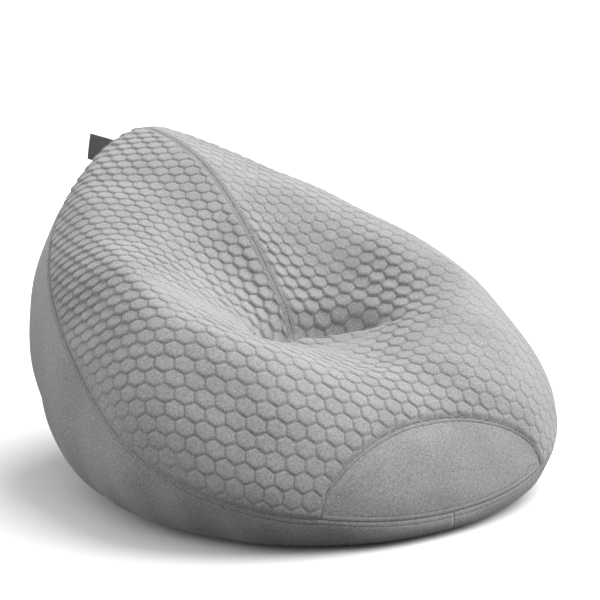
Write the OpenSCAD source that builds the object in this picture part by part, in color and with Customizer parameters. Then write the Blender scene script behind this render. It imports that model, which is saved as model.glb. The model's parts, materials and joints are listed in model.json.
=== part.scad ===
// Bean bag lounger with a high pointed back, a deep seat and a quilted top.
// The sitter faces -Y. The origin is on the floor, straight under the seat.
// A place on the bag is (a, w): a turns round the seat axis from the front,
// and w climbs from the floor edge (0) over the widest girth (1) and the
// crest (2) down to the bottom of the seat (3).

/* [Foot outline] */
// Half width of the patch that stands on the floor
foot_side = 345; // [280:5:420]
// Reach of the floor patch in front of the seat axis
foot_front = 355; // [290:5:430]
// Reach of the floor patch behind the seat axis
foot_back = 395; // [320:5:480]
// Squareness of the floor patch, where 2 is an ellipse
foot_square = 2.3; // [2:0.1:3]

/* [Girth outline] */
// Half width at the widest girth
girth_side = 500; // [410:5:600]
// Reach of the girth in front of the seat axis
girth_front = 405; // [360:5:490]
// Reach of the girth behind the seat axis
girth_back = 680; // [640:5:820]
// Squareness of the girth, where 2 is an ellipse
girth_square = 2.2; // [2:0.1:3]
// Height of the girth at the front
girth_front_h = 30; // [24:1:60]
// Height of the girth at the sides
girth_side_h = 150; // [120:5:200]
// Height of the girth at the back
girth_back_h = 420; // [340:5:510]

/* [Crest outline] */
// Half width of the crest, from arm top to arm top
crest_side = 355; // [290:5:400]
// Reach of the crest in front of the seat axis
crest_front = 195; // [160:5:240]
// Reach of the peak behind the seat axis
crest_back = 620; // [510:5:635]
// Squareness of the crest, where 2 is an ellipse
crest_square = 1.95; // [1.8:0.05:2.5]
// Height of the roll in front of the seat
front_h = 275; // [265:5:330]
// Height of the arms beside the seat
arm_h = 395; // [340:5:480]
// Height of the peak
peak_h = 662; // [550:2:800]
// Steepness of the last rise to the peak
peak_power = 3.4; // [2:0.1:5]
// Half angle of the rounding at the peak
peak_round = 3; // [1:0.5:8]
// Fullness of the front wall, where 2 is a quarter ellipse
front_full = 1.6; // [1.4:0.05:2.2]
// Fullness of the back wall
back_full = 1.85; // [1.6:0.05:2.2]

/* [Seat] */
// Height of the cover at the bottom of the seat
seat_h = 250; // [200:5:262]
// Fullness of the seat slope at the front
seat_front_full = 2.5; // [1.5:0.1:3]
// Fullness of the seat slope at the arms
seat_side_full = 1.8; // [1.5:0.1:3]
// Fullness of the backrest
seat_back_full = 2.1; // [1.5:0.1:3]
// Hollowness of the seat at the front and at the arms
seat_soft = 0.45; // [0.2:0.05:0.8]
// Hollowness of the crease at the foot of the backrest
crease_soft = 0.10; // [0.05:0.05:0.3]

/* [Seams] */
// Angle from the front to the corner where three panels meet
corner_turn = 37; // [30:1:45]
// Height of that corner
corner_h = 70; // [60:1:100]
// Height of the toe panel's top at the front
arch_h = 200; // [150:5:240]
// Squareness of the toe panel's arch
arch_square = 2.4; // [2:0.1:3]
// Height of the toe panel's lower seam at the front
toe_h = 45; // [36:1:55]
// Depth of the side seam's end below the peak
seam_drop = 20; // [10:1:60]

/* [Cloth] */
// Thickness of the plain cloth
cloth_t = 1.2; // [0.8:0.1:2]
// Thickness of the liner cloth
liner_t = 0.4; // [0.3:0.05:0.6]
// Height of the quilting above the plain cloth
quilt_rise = 3; // [2:0.5:5]
// Depth of the quilting below the plain cloth's outside
quilt_sink = 4; // [2:0.5:5]
// Width of the flattened edge of the quilting
quilt_edge = 14; // [8:1:25]
// Share of the quilting's thickness that is its face cloth
face_share = 0.2; // [0.1:0.05:0.3]
// Share of the quilting's thickness that is its backing
backing_share = 0.1; // [0.05:0.05:0.2]
// Thickness of the sewing thread
thread_d = 1.0; // [0.6:0.1:1.5]
// Distance from a seam to its first row of stitches
stitch_in = 3; // [2:0.5:5]
// Distance between two rows of stitches
stitch_gap = 5; // [3:0.5:8]

/* [Zips] */
// Distance of the cover's zip behind the seat axis
zip_y = 150; // [110:5:200]
// Distance of the liner's zip behind the seat axis
liner_zip_y = -60; // [-120:5:20]
// Width of one zip tape
tape_w = 14; // [12:1:18]
// Thickness of a zip tape
tape_t = 0.6; // [0.4:0.1:1]
// Width of one row of teeth
teeth_w = 3; // [2.5:0.5:4]
// Thickness of the teeth
teeth_t = 2; // [1.6:0.2:3]
// Gap between the two rows of teeth, where the slider's post runs
teeth_gap = 1.6; // [1.4:0.1:2]
// Length of the zip slider
slider_l = 14; // [11:1:20]
// Width of the zip slider
slider_w = 12; // [10:0.2:15]
// Thickness of one of the slider's two plates
slider_plate = 1; // [0.8:0.1:1.5]
// Distance from the end of the teeth to the edge of the foot
zip_end = 28; // [20:1:60]
// Height of the cover's zip above the floor
zip_h = 5.6; // [5:0.1:8]

/* [Label] */
// Length of the label that stands out from the seam
label_l = 120; // [40:5:130]
// Width of the label
label_w = 60; // [30:5:80]
// Thickness of the label's cloth
label_t = 0.8; // [0.5:0.1:1.2]
// Depth of the label's middle below the peak
label_drop = 76; // [50:1:150]
// Turn of the label to the sitter's right
label_turn = 30; // [0:5:40]

/* [Hidden] */

// Clearances
touch = 0.3;        // between the liner, the quilting and the beads
run = 0.35;         // between the slider and what it runs on
thread_lift = 0.4;  // between a thread and the cloth under it
base_room = 11;     // extra room for the zips between the two bases

// Grids
front_steps = 14;   // columns over the toe panel
side_steps = 18;    // columns from a corner to the back
wall_rings = 6;     // rings from the side seam to the crest
seat_rings = 7;     // rings from the crest to the seat's bottom
panel_rings = 9;    // rings of a side panel
toe_rings = 4;      // rings of the toe panel
last_ring = 2.95;   // the ring round the seat's lowest point

// Outlines and heights round the seat axis

function outline(a, side, front, back, square) =
    let (reach = cos(a) > 0 ? front : back)
    pow(pow(abs(sin(a)) / side, square) + pow(abs(cos(a)) / reach, square), -1 / square);

function around(a, front, side, back) =
    side + ((cos(a) > 0 ? front : back) - side) * pow(cos(a), 2);

function foot_r(a) = outline(a, foot_side, foot_front, foot_back, foot_square);
function girth_r(a) = outline(a, girth_side, girth_front, girth_back, girth_square);
function crest_r(a) = outline(a, crest_side, crest_front, crest_back, crest_square);
function girth_z(a) = around(a, girth_front_h, girth_side_h, girth_back_h);
function fullness(a) = front_full + (back_full - front_full) * (1 - cos(a)) / 2;

// The crest climbs gently to the arms and ever faster from them to the peak
arm_rise = arm_h - front_h;
function from_peak(turn) = sqrt(pow(turn, 2) + pow(2 * peak_round, 2)) - 2 * peak_round;
function past_arm(a) = 90 * max(0, 1 - from_peak(180 - abs(a)) / from_peak(90));
function crest_z(a) =
    let (turn = past_arm(a), steady = arm_rise * turn * PI / 180)
    cos(a) > 0 ? front_h + arm_rise * (1 - cos(a))
    : arm_h + steady + (peak_h - arm_h - arm_rise * PI / 2) * pow(turn / 90, peak_power);

// The cover's outside, as a point [x, y, z]
function place(a, r, z) = [r * sin(a), -r * cos(a), z];

function low_skin(a, w) =
    place(a, foot_r(a) + (girth_r(a) - foot_r(a)) * sin(90 * w),
        girth_z(a) * (1 - cos(90 * w)));

function high_skin(a, w) =
    let (e = 2 / fullness(a))
    place(a, crest_r(a) + (girth_r(a) - crest_r(a)) * pow(cos(90 * w), e),
        girth_z(a) + (crest_z(a) - girth_z(a)) * pow(sin(90 * w), e));

function seat_skin(a, q) =
    let (soft = around(a, seat_soft, seat_soft, crease_soft),
        full = around(a, seat_front_full, seat_side_full, seat_back_full),
        s = (sqrt(q * q + soft * soft) - soft) / (sqrt(1 + soft * soft) - soft))
    place(a, crest_r(a) * q, seat_h + (crest_z(a) - seat_h) * (1 - pow(1 - s, full)));

function skin(a, w) =
    w < 1 ? low_skin(a, max(0, w)) : w < 2 ? high_skin(a, w - 1) : seat_skin(a, max(0, 3 - w));

function unit(v) = v / norm(v);
function outward(a, w) =
    w > 2.999 ? [0, 0, 1]
    : unit(cross(skin(a + 1, w) - skin(a - 1, w),
        skin(a, min(3, w + 0.01)) - skin(a, max(0, w - 0.01))));

// A point at a depth under the cover's outside
function under(a, w, depth) = skin(a, w) - depth * outward(a, w);

// Seams, as heights and then as w

seam_start = 1.56;  // slowness of the side seam's climb out of the corner
seam_end = 2.1;     // slowness of its climb to the back seam
function seam_h(a) =
    let (u = max(0, (abs(a) - corner_turn) / (180 - corner_turn)))
    corner_h + (crest_z(a) - seam_drop - corner_h) * pow(1 - pow(1 - u, seam_end), seam_start);
function arch_z(a) =
    corner_h + (arch_h - corner_h)
        * pow(max(0, 1 - pow(min(1, abs(a) / corner_turn), arch_square)), 1 / arch_square);
function toe_z(a) = toe_h + (corner_h - toe_h) * pow(a / corner_turn, 2);

function w_at(a, z) =
    z < girth_z(a) ? acos(1 - z / girth_z(a)) / 90
    : 1 + asin(pow((z - girth_z(a)) / (crest_z(a) - girth_z(a)), fullness(a) / 2)) / 90;
function in_front(a) = abs(a) < corner_turn - 0.01;
function top_edge(a) = w_at(a, in_front(a) ? arch_z(a) : seam_h(a));
function side_edge(a) = w_at(a, in_front(a) ? toe_z(a) : seam_h(a));

// w after a walk of some millimetres up the cover
function walk(a, w, mm) = w + 0.01 * mm / norm(skin(a, w + 0.01) - skin(a, w));

// Columns of the grids, from the back over the sitter's right, the front and
// the left to the back again
right_turns = [for (i = [0 : side_steps - 1])
    -180 + (180 - corner_turn) * i / side_steps];
front_turns = [for (i = [0 : front_steps]) corner_turn * sin(-90 + 180 * i / front_steps)];
all_turns = concat(right_turns, front_turns, [for (a = right_turns) -a]);
function sorted(v) = len(v) < 2 ? v
    : let (p = v[0]) concat(sorted([for (x = v) if (x < p) x]), [p], sorted([for (x = v) if (x > p) x]));
turns = sorted(all_turns);
half_front = [for (a = front_turns) if (a < -0.001) a];
right_half = concat(right_turns, half_front, [0]);
left_half = sorted([for (a = right_half) -a]);

function steps(from, to, n) = [for (i = [0 : n]) from + (to - from) * i / n];
function rest(v) = [for (i = [1 : len(v) - 1]) v[i]];

// The columns once round, for closed rings
ring_turns = [for (a = turns) if (a < 180) a];

// Builds a closed sheet between two grids of points. Its top is left open as
// a fourth edge, or runs to the pole of a half or of a whole turn.
module sheet(outside, inside, top = "open", poles = []) {
    n = len(outside) - 1;
    m = len(outside[0]) - 1;
    row = m + 1;
    all = (n + 1) * row;
    pole = 2 * all;
    function p(j, i) = j * row + i;
    function q(j, i) = all + j * row + i;
    points = concat([for (c = outside) for (v = c) v], [for (c = inside) for (v = c) v], poles);
    sides = concat(
        [for (j = [0 : n - 1]) for (i = [0 : m - 1]) for (f = [
            [p(j, i), p(j, i + 1), p(j + 1, i + 1)], [p(j, i), p(j + 1, i + 1), p(j + 1, i)],
            [q(j, i), q(j + 1, i + 1), q(j, i + 1)], [q(j, i), q(j + 1, i), q(j + 1, i + 1)]]) f],
        [for (j = [0 : n - 1]) for (f = [
            [p(j, 0), p(j + 1, 0), q(j + 1, 0)], [p(j, 0), q(j + 1, 0), q(j, 0)]]) f],
        [for (i = [0 : m - 1]) for (f = [
            [p(0, i + 1), p(0, i), q(0, i)], [p(0, i + 1), q(0, i), q(0, i + 1)],
            [p(n, i), p(n, i + 1), q(n, i + 1)], [p(n, i), q(n, i + 1), q(n, i)]]) f]);
    open_top = [for (j = [0 : n - 1]) for (f = [
        [p(j + 1, m), p(j, m), q(j, m)], [p(j + 1, m), q(j, m), q(j + 1, m)]]) f];
    fan = [for (j = [0 : n - 1]) for (f = [
        [p(j, m), pole, p(j + 1, m)], [q(j, m), q(j + 1, m), pole + 1]]) f];
    half_top = [[pole, p(0, m), q(0, m)], [pole, q(0, m), pole + 1],
        [p(n, m), pole, pole + 1], [p(n, m), pole + 1, q(n, m)]];
    full_top = [[p(n, m), pole, p(0, m)], [q(n, m), q(0, m), pole + 1],
        [p(n, m), p(0, m), q(0, m)], [p(n, m), q(0, m), q(n, m)]];
    polyhedron(points, concat(sides,
        top == "open" ? open_top : concat(fan, top == "half" ? half_top : full_top)));
}

// A square thread along a line of points, each with its outward direction
module thread(line) {
    r = thread_d / 2;
    n = len(line);
    ring = [for (k = [0 : n - 1])
        let (c = line[k][0], up = line[k][1],
            way = unit(line[min(n - 1, k + 1)][0] - line[max(0, k - 1)][0]),
            across = unit(cross(way, up)), over = cross(across, way))
        for (s = [[1, 1], [-1, 1], [-1, -1], [1, -1]])
            c + r * (s[0] * across + s[1] * over)];
    skin_faces = [for (k = [0 : n - 2]) for (s = [0 : 3])
        let (b = 4 * k + s, c = 4 * k + (s + 1) % 4)
        for (f = [[b, b + 4, c + 4], [b, c + 4, c]]) f];
    last = 4 * (n - 1);
    polyhedron(ring, concat(skin_faces,
        [[0, 1, 2], [0, 2, 3], [last + 2, last + 1, last], [last + 3, last + 2, last]]));
}

// A place for a thread on a cloth that stands up by rise
function on_cloth(a, w, rise = 0) =
    [under(a, w, -(rise + thread_lift + thread_d / 2)), outward(a, w)];

// Quilting

// Rings of the quilting: its seam, the end of its flat edge, then up over
// the crest and down to the last ring
function quilt_ws(a) =
    let (edge = top_edge(a), full = walk(a, edge, quilt_edge))
    concat([edge], steps(full, 2, wall_rings), rest(steps(2, last_ring, seat_rings)));

// Depth of a share of the quilting's thickness, flat at its edge
function quilt_depth(i, share) =
    i == 0 ? share * cloth_t : -quilt_rise + share * (quilt_rise + quilt_sink);

// The back seam closes the gap between the first and the last column
dart_gap = 0.6;
function dart_shift(j) = [(j == 0 ? -1 : j == len(turns) - 1 ? 1 : 0) * dart_gap / 2, 0, 0];

function quilt_grid(share) =
    [for (j = [0 : len(turns) - 1])
        let (a = turns[j], ws = quilt_ws(a))
        [for (i = [0 : len(ws) - 1])
            under(a, ws[i], quilt_depth(i, share)) + dart_shift(j)]];

module quilt_layer(outer_share, inner_share) {
    sheet(quilt_grid(outer_share), quilt_grid(inner_share), "full",
        [under(0, 3, quilt_depth(1, outer_share)), under(0, 3, quilt_depth(1, inner_share))]);
}

module quilt_face() {
    color("silver") quilt_layer(0, face_share);
}

module quilt_wadding() {
    color("white") quilt_layer(face_share, 1 - backing_share);
}

module quilt_backing() {
    color("gainsboro") quilt_layer(1 - backing_share, 1);
}

// Plain panels

function panel_grid(columns, low, depth) =
    [for (a = columns) [for (w = steps(low, side_edge(a), panel_rings)) under(a, w, depth)]];

module side_panel_right() {
    color("darkgray") sheet(panel_grid(right_half, 0, 0), panel_grid(right_half, 0, cloth_t));
}

module side_panel_left() {
    color("darkgray") sheet(panel_grid(left_half, 0, 0), panel_grid(left_half, 0, cloth_t));
}

// The toe panel stops just short of its two sharp corners, and its top runs
// straight to them from its last full column
toe_last = front_turns[front_steps - 1];
toe_reach = toe_last + 0.95 * (corner_turn - toe_last);
toe_turns = [for (a = front_turns) max(-toe_reach, min(toe_reach, a))];
function toe_top(a) =
    let (past = max(0, abs(a) - toe_last) / (corner_turn - toe_last))
    past == 0 ? arch_z(a) : arch_z(toe_last) + (corner_h - arch_z(toe_last)) * past;
function toe_grid(depth) =
    [for (a = toe_turns)
        [for (w = steps(w_at(a, toe_z(a)), w_at(a, toe_top(a)), toe_rings)) under(a, w, depth)]];

module toe_panel() {
    color("darkgray") sheet(toe_grid(0), toe_grid(cloth_t));
}

// Bases, which stop at a zip and turn up or down to it

module foot_prism(low, high) {
    translate([0, 0, low]) linear_extrude(high - low)
        polygon([for (a = ring_turns)
            (foot_r(a) - foot_gap) * [sin(a), -cos(a)]]);
}

foot_gap = 0.3;     // from a base to the panels round it
hem_w = 10;         // flat hem that a zip tape is sewn to
hem_slope = 14;     // length of the cloth that climbs to the hem
hem_room = 1.5;     // between the slider and a hem
hem_gap = slider_w / 2 + hem_room;
beyond = 1000;      // past every edge of the foot

// Half of a base in front of the zip line, seen from the side. It lies
// between z and z + t and its hem lies between hem_z and hem_z + t.
module base_profile(z, hem_z, t) {
    polygon([[-beyond, z], [-hem_gap - hem_w - hem_slope, z], [-hem_gap - hem_w, hem_z],
        [-hem_gap, hem_z], [-hem_gap, hem_z + t], [-hem_gap - hem_w, hem_z + t],
        [-hem_gap - hem_w - hem_slope, z + t], [-beyond, z + t]]);
}

module base_half(at_y, z, hem_z, t, side) {
    intersection() {
        foot_prism(min(z, hem_z) - t, max(z, hem_z) + 2 * t);
        translate([0, at_y, 0]) facing(side) rotate([90, 0, 90])
            linear_extrude(2 * beyond, center = true) base_profile(z, hem_z, t);
    }
}

// Keeps a shape, or turns it round to the other side of the zip
module facing(side) {
    if (side < 0) children();
    else mirror([0, 1, 0]) children();
}

module base_panel_front() {
    color("dimgray") base_half(zip_y, 0, zip_h - cloth_t, cloth_t, -1);
}

module base_panel_rear() {
    color("dimgray") base_half(zip_y, 0, zip_h - cloth_t, cloth_t, 1);
}

// Zips. The tape's lower face lies at h, and the two rows of teeth lie each
// side of a narrow gap at y.

// Half length of a zip that ends at the edge of the foot
function zip_half(y) =
    let (reach = y < 0 ? foot_front : foot_back)
    foot_side * pow(1 - pow(abs(y) / reach, foot_square), 1 / foot_square) - zip_end;

teeth_out = teeth_gap / 2 + teeth_w;    // from the zip's middle to a row's outside
teeth_grip = 0.5;                       // depth of the tape's edge in the teeth

module tape(y, h, side) {
    l = zip_half(y) + zip_end / 2;
    inner = teeth_out - teeth_grip;
    translate([-l, side > 0 ? y + inner : y - tape_w - inner, h])
        cube([2 * l, tape_w, tape_t]);
}

module teeth(y, h, side) {
    l = zip_half(y);
    below = (teeth_t - tape_t) / 2;
    difference() {
        translate([-l, side > 0 ? y + teeth_gap / 2 : y - teeth_out, h - below])
            cube([2 * l, teeth_w, teeth_t]);
        tape(y, h, side);
    }
}

// A stop clamped on both tapes
stop_l = 3;
stop_wrap = 0.8;    // metal above and below the teeth and beside them
module stop_piece(x, y, h) {
    half = teeth_out + stop_wrap;
    high = teeth_t + 2 * stop_wrap;
    difference() {
        translate([x - stop_l / 2, y - half, h + tape_t / 2 - high / 2])
            cube([stop_l, 2 * half, high]);
        for (side = [-1, 1]) tape(y, h, side);
    }
}

// Where a stop sits, just past the end of the teeth
function stop_x(y) = zip_half(y) + stop_l / 2;

// A slider with no pull tab: two plates joined by a post between the rows of
// teeth, with low walls outside them and a keeper under the lower plate
keeper_r = 1.4;
module slider(x, y, h) {
    gap = teeth_t + 2 * run;
    slot = tape_t + 2 * run;
    wall = slider_w / 2 - teeth_out - run;
    post = teeth_gap - 2 * run;
    translate([x, y, h + tape_t / 2]) {
        for (s = [-1, 1]) {
            translate([-slider_l / 2, -slider_w / 2, s > 0 ? gap / 2 : -gap / 2 - slider_plate])
                cube([slider_l, slider_w, slider_plate]);
            for (t = [-1, 1])
                translate([-slider_l / 2, s > 0 ? slider_w / 2 - wall : -slider_w / 2,
                        t > 0 ? slot / 2 : -gap / 2])
                    cube([slider_l, wall, (gap - slot) / 2]);
        }
        translate([-slider_l / 2, -post / 2, -gap / 2]) cube([slider_l / 3, post, gap]);
        translate([0, 0, -gap / 2 - slider_plate]) rotate([0, 90, 0])
            cylinder(h = slider_l / 2, r = keeper_r, center = true, $fn = 24);
    }
}

// The slider rests closed, just short of the stop on the sitter's left
slider_rest = 1;
function slider_x(y) = zip_half(y) - slider_l / 2 - slider_rest;

module zip_tape_front() {
    color("dimgray") tape(zip_y, zip_h, -1);
}

module zip_tape_rear() {
    color("dimgray") tape(zip_y, zip_h, 1);
}

module zip_teeth_front() {
    color("gray") teeth(zip_y, zip_h, -1);
}

module zip_teeth_rear() {
    color("gray") teeth(zip_y, zip_h, 1);
}

module zip_top_stop() {
    color("slategray") stop_piece(stop_x(zip_y), zip_y, zip_h);
}

module zip_bottom_stop() {
    color("slategray") stop_piece(-stop_x(zip_y), zip_y, zip_h);
}

module zip_slider() {
    color("slategray") slider(slider_x(zip_y), zip_y, zip_h);
}

// Stitching

module stitching_back_seam() {
    ws = rest(quilt_ws(180));
    for (s = [-1, 1])
        color("gray") thread([for (w = ws)
            let (a = s * 180, spot = on_cloth(a, w, quilt_rise))
            [spot[0] + [-s * (stitch_in + dart_gap), 0, 0], spot[1]]]);
}

// Two rows on the plain side of the side seam
module side_stitches(columns) {
    for (row = [0, 1])
        thread([for (a = columns)
            on_cloth(a, walk(a, side_edge(a), -stitch_in - row * stitch_gap))]);
}

// The rows stop short of the back seam and of the corner
stitch_turns_right = [for (a = right_half) if (a > -180 && a < -corner_turn) a];

module stitching_side_right() {
    color("gray") side_stitches(stitch_turns_right);
}

module stitching_side_left() {
    color("gray") side_stitches(sorted([for (a = stitch_turns_right) -a]));
}

// The rows follow the toe panel's seams on its own cloth
stitch_turns_toe = [for (i = [2 : front_steps - 2]) front_turns[i]];

module stitching_toe_arch() {
    color("gray") for (row = [0, 1])
        thread([for (a = stitch_turns_toe)
            on_cloth(a, walk(a, w_at(a, arch_z(a)), -stitch_in - row * stitch_gap))]);
}

module stitching_toe_base() {
    color("gray") for (row = [0, 1])
        thread([for (a = stitch_turns_toe)
            on_cloth(a, walk(a, w_at(a, toe_z(a)), stitch_in + row * stitch_gap))]);
}

// Label, a folded strip that swings on its sewn edge in the back seam

function back_wall(z) = skin(180, w_at(180, z));
label_h = peak_h - label_drop;
label_root = back_wall(label_h);
label_lean = atan((back_wall(label_h - label_w / 2)[1] - back_wall(label_h + label_w / 2)[1])
    / label_w);
label_off = 4;      // from the cover to the label's sewn edge
label_sewn = 8;     // sewn end, where the two leaves touch
label_fold = 1.6;   // space between the leaves at the fold

// The sewn edge lies along the back wall
module label_frame() {
    translate(label_root) rotate([label_lean, 0, 0])
        translate([0, label_off, 0]) rotate([0, 0, label_turn]) children();
}

// The label seen from above: two leaves that part after the sewn end and
// meet again round the fold
module label_strip() {
    out = label_t + label_fold / 2;
    end = label_l - out;
    difference() {
        union() {
            translate([-label_t, 0]) square([2 * label_t, label_sewn]);
            polygon([[-label_t, label_sewn], [label_t, label_sewn],
                [out, 2 * label_sewn], [-out, 2 * label_sewn]]);
            translate([-out, 2 * label_sewn]) square([2 * out, end - 2 * label_sewn]);
            translate([0, end]) circle(r = out, $fn = 32);
        }
        polygon([[0, label_sewn], [label_fold / 2, 2 * label_sewn],
            [label_fold / 2, end], [-label_fold / 2, end], [-label_fold / 2, 2 * label_sewn]]);
        translate([0, end]) circle(r = label_fold / 2, $fn = 32);
    }
}

module label() {
    color("dimgray") label_frame()
        translate([0, 0, -label_w / 2]) linear_extrude(label_w) label_strip();
}

// Two rows of thread through the sewn end, one on each leaf
label_stitch_in = 4;
module label_stitching() {
    color("gray") label_frame() for (s = [-1, 1])
        translate([s > 0 ? label_t : -label_t - thread_d / 2,
                label_sewn / 2 - thread_d / 2, -label_w / 2 + label_stitch_in])
            cube([thread_d / 2, thread_d, label_w - 2 * label_stitch_in]);
}

// Liner, a plain bag inside the cover with its own zip in its base

liner_depth = quilt_sink + touch;
bead_depth = liner_depth + liner_t + touch;
wall_room = 3;      // extra room behind the thin plain panels
function room(w) =
    w < 1 ? wall_room + (base_room - wall_room) * pow(1 - w, 2) : wall_room * max(0, 2 - w);

// The same rings as the panels and the quilting outside them
function inner_ws(a) = concat(steps(0, top_edge(a), panel_rings), rest(quilt_ws(a)));
function inner_grid(columns, depth) =
    [for (a = columns) [for (w = inner_ws(a)) under(a, w, depth + room(w))]];

module liner_half(columns) {
    sheet(inner_grid(columns, liner_depth), inner_grid(columns, liner_depth + liner_t), "half",
        [under(0, 3, liner_depth), under(0, 3, liner_depth + liner_t)]);
}

module liner_right() {
    color("whitesmoke") liner_half(right_half);
}

module liner_left() {
    color("whitesmoke") liner_half(left_half);
}

liner_floor = liner_depth + base_room;
liner_dip = 4.5;    // depth of the liner's hems below its base
liner_hem = liner_floor - liner_dip;

module liner_base_front() {
    color("whitesmoke") base_half(liner_zip_y, liner_floor, liner_hem, liner_t, -1);
}

module liner_base_rear() {
    color("whitesmoke") base_half(liner_zip_y, liner_floor, liner_hem, liner_t, 1);
}

liner_tape_z = liner_hem - tape_t;

module liner_zip_tape_front() {
    color("white") tape(liner_zip_y, liner_tape_z, -1);
}

module liner_zip_tape_rear() {
    color("white") tape(liner_zip_y, liner_tape_z, 1);
}

module liner_zip_teeth_front() {
    color("white") teeth(liner_zip_y, liner_tape_z, -1);
}

module liner_zip_teeth_rear() {
    color("white") teeth(liner_zip_y, liner_tape_z, 1);
}

module liner_zip_stops() {
    color("silver") for (s = [-1, 1])
        stop_piece(s * stop_x(liner_zip_y), liner_zip_y, liner_tape_z);
}

module liner_zip_slider() {
    color("silver") slider(slider_x(liner_zip_y), liner_zip_y, liner_tape_z);
}

// Beads, as one solid of the space that they fill

module bead_filling() {
    columns = inner_grid(ring_turns, bead_depth);
    n = len(columns);
    m = len(columns[0]) - 1;
    row = m + 1;
    top = n * row;
    function p(j, i) = (j % n) * row + i;
    points = concat([for (c = columns) for (v = c) v],
        [under(0, 3, bead_depth), [0, 0, bead_depth + base_room]]);
    color("white") polyhedron(points, concat(
        [for (j = [0 : n - 1]) for (i = [0 : m - 1]) for (f = [
            [p(j, i), p(j, i + 1), p(j + 1, i + 1)], [p(j, i), p(j + 1, i + 1), p(j + 1, i)]]) f],
        [for (j = [0 : n - 1]) [p(j, m), top, p(j + 1, m)]],
        [for (j = [0 : n - 1]) [p(j, 0), p(j + 1, 0), top + 1]]));
}

quilt_face();
quilt_wadding();
quilt_backing();
side_panel_right();
side_panel_left();
toe_panel();
base_panel_front();
base_panel_rear();
zip_tape_front();
zip_tape_rear();
zip_teeth_front();
zip_teeth_rear();
zip_top_stop();
zip_bottom_stop();
zip_slider();
stitching_back_seam();
stitching_side_right();
stitching_side_left();
stitching_toe_arch();
stitching_toe_base();
label();
label_stitching();
liner_right();
liner_left();
liner_base_front();
liner_base_rear();
liner_zip_tape_front();
liner_zip_tape_rear();
liner_zip_teeth_front();
liner_zip_teeth_rear();
liner_zip_stops();
liner_zip_slider();
bead_filling();
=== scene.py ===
import json
import math

import bpy
import numpy as np
from mathutils.bvhtree import BVHTree
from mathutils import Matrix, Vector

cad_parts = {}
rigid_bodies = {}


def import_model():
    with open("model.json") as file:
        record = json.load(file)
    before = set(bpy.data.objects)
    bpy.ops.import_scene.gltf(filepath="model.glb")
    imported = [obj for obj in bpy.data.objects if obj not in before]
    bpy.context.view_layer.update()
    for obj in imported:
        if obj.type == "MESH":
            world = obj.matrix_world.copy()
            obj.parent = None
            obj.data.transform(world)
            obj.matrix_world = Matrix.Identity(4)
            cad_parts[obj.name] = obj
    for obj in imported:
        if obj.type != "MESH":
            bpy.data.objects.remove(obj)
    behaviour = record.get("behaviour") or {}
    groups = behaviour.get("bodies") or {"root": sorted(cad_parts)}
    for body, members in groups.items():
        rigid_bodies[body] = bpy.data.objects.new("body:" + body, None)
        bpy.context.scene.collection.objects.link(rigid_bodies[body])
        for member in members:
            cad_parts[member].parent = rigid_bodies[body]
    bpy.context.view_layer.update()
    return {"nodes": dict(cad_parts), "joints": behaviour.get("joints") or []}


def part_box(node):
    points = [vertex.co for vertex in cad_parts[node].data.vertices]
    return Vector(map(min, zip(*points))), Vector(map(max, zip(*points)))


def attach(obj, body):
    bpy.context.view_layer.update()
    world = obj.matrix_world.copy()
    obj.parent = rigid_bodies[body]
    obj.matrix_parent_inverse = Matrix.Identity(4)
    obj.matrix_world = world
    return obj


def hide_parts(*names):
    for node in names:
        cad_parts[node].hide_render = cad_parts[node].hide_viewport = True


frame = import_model()
bpy.context.scene.view_settings.view_transform = "Standard"

# Shape of the bag. A place on it is (turn, climb): turn goes round the seat in degrees from the front,
# and climb goes from the floor edge (0) over the girth (1) and the crest (2) down to the seat's bottom (3).
bag = {
    "foot": (0.345, 0.355, 0.395, 2.3),        # half width, front reach, back reach, squareness
    "girth": (0.500, 0.405, 0.680, 2.2),
    "crest": (0.355, 0.195, 0.620, 1.95),
    "girthHeights": (0.030, 0.150, 0.420),     # front, sides, back
    "frontHeight": 0.275,
    "armHeight": 0.395,
    "peakHeight": 0.662,
    "peakPower": 3.4,
    "peakRound": 3,
    "wallFullness": (1.6, 1.85),               # front, back
    "seatHeight": 0.250,
    "seatFullness": (2.5, 1.8, 2.1),           # front, sides, back
    "seatSoftness": (0.45, 0.45, 0.10),
    "cornerTurn": 37,                          # where three panels meet
    "cornerHeight": 0.070,
    "archHeight": 0.200,
    "archSquareness": 2.4,
    "toeHeight": 0.045,
    "seamDrop": 0.020,
    "seamStart": 1.56,
    "seamEnd": 2.1,
    "cloth": 0.0012,
    "linerCloth": 0.0004,
    "quiltRise": 0.003,
}


def sine(degrees):
    return np.sin(np.radians(degrees))


def cosine(degrees):
    return np.cos(np.radians(degrees))


def smooth(x, low, high):
    t = np.clip((x - low) / (high - low), 0, 1)
    return t * t * (3 - 2 * t)


def bell(x, middle, spread):
    return np.exp(-((x - middle) / spread) ** 2)


def between(x, start, full, fade, end):
    # 1 from full to fade, and 0 before start and past end
    return smooth(x, start, full) * (1 - smooth(x, fade, end))


def unit(v):
    return v / np.maximum(np.linalg.norm(v, axis=-1, keepdims=True), 1e-12)


def outline(turn, side, front, back, squareness):
    reach = np.where(cosine(turn) > 0, front, back)
    total = np.abs(sine(turn) / side) ** squareness + np.abs(cosine(turn) / reach) ** squareness
    return total ** (-1 / squareness)


def around(turn, front, side, back):
    return side + (np.where(cosine(turn) > 0, front, back) - side) * cosine(turn) ** 2


def fromPeak(angle):
    blunt = 2 * bag["peakRound"]
    return np.sqrt(angle ** 2 + blunt ** 2) - blunt


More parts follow.
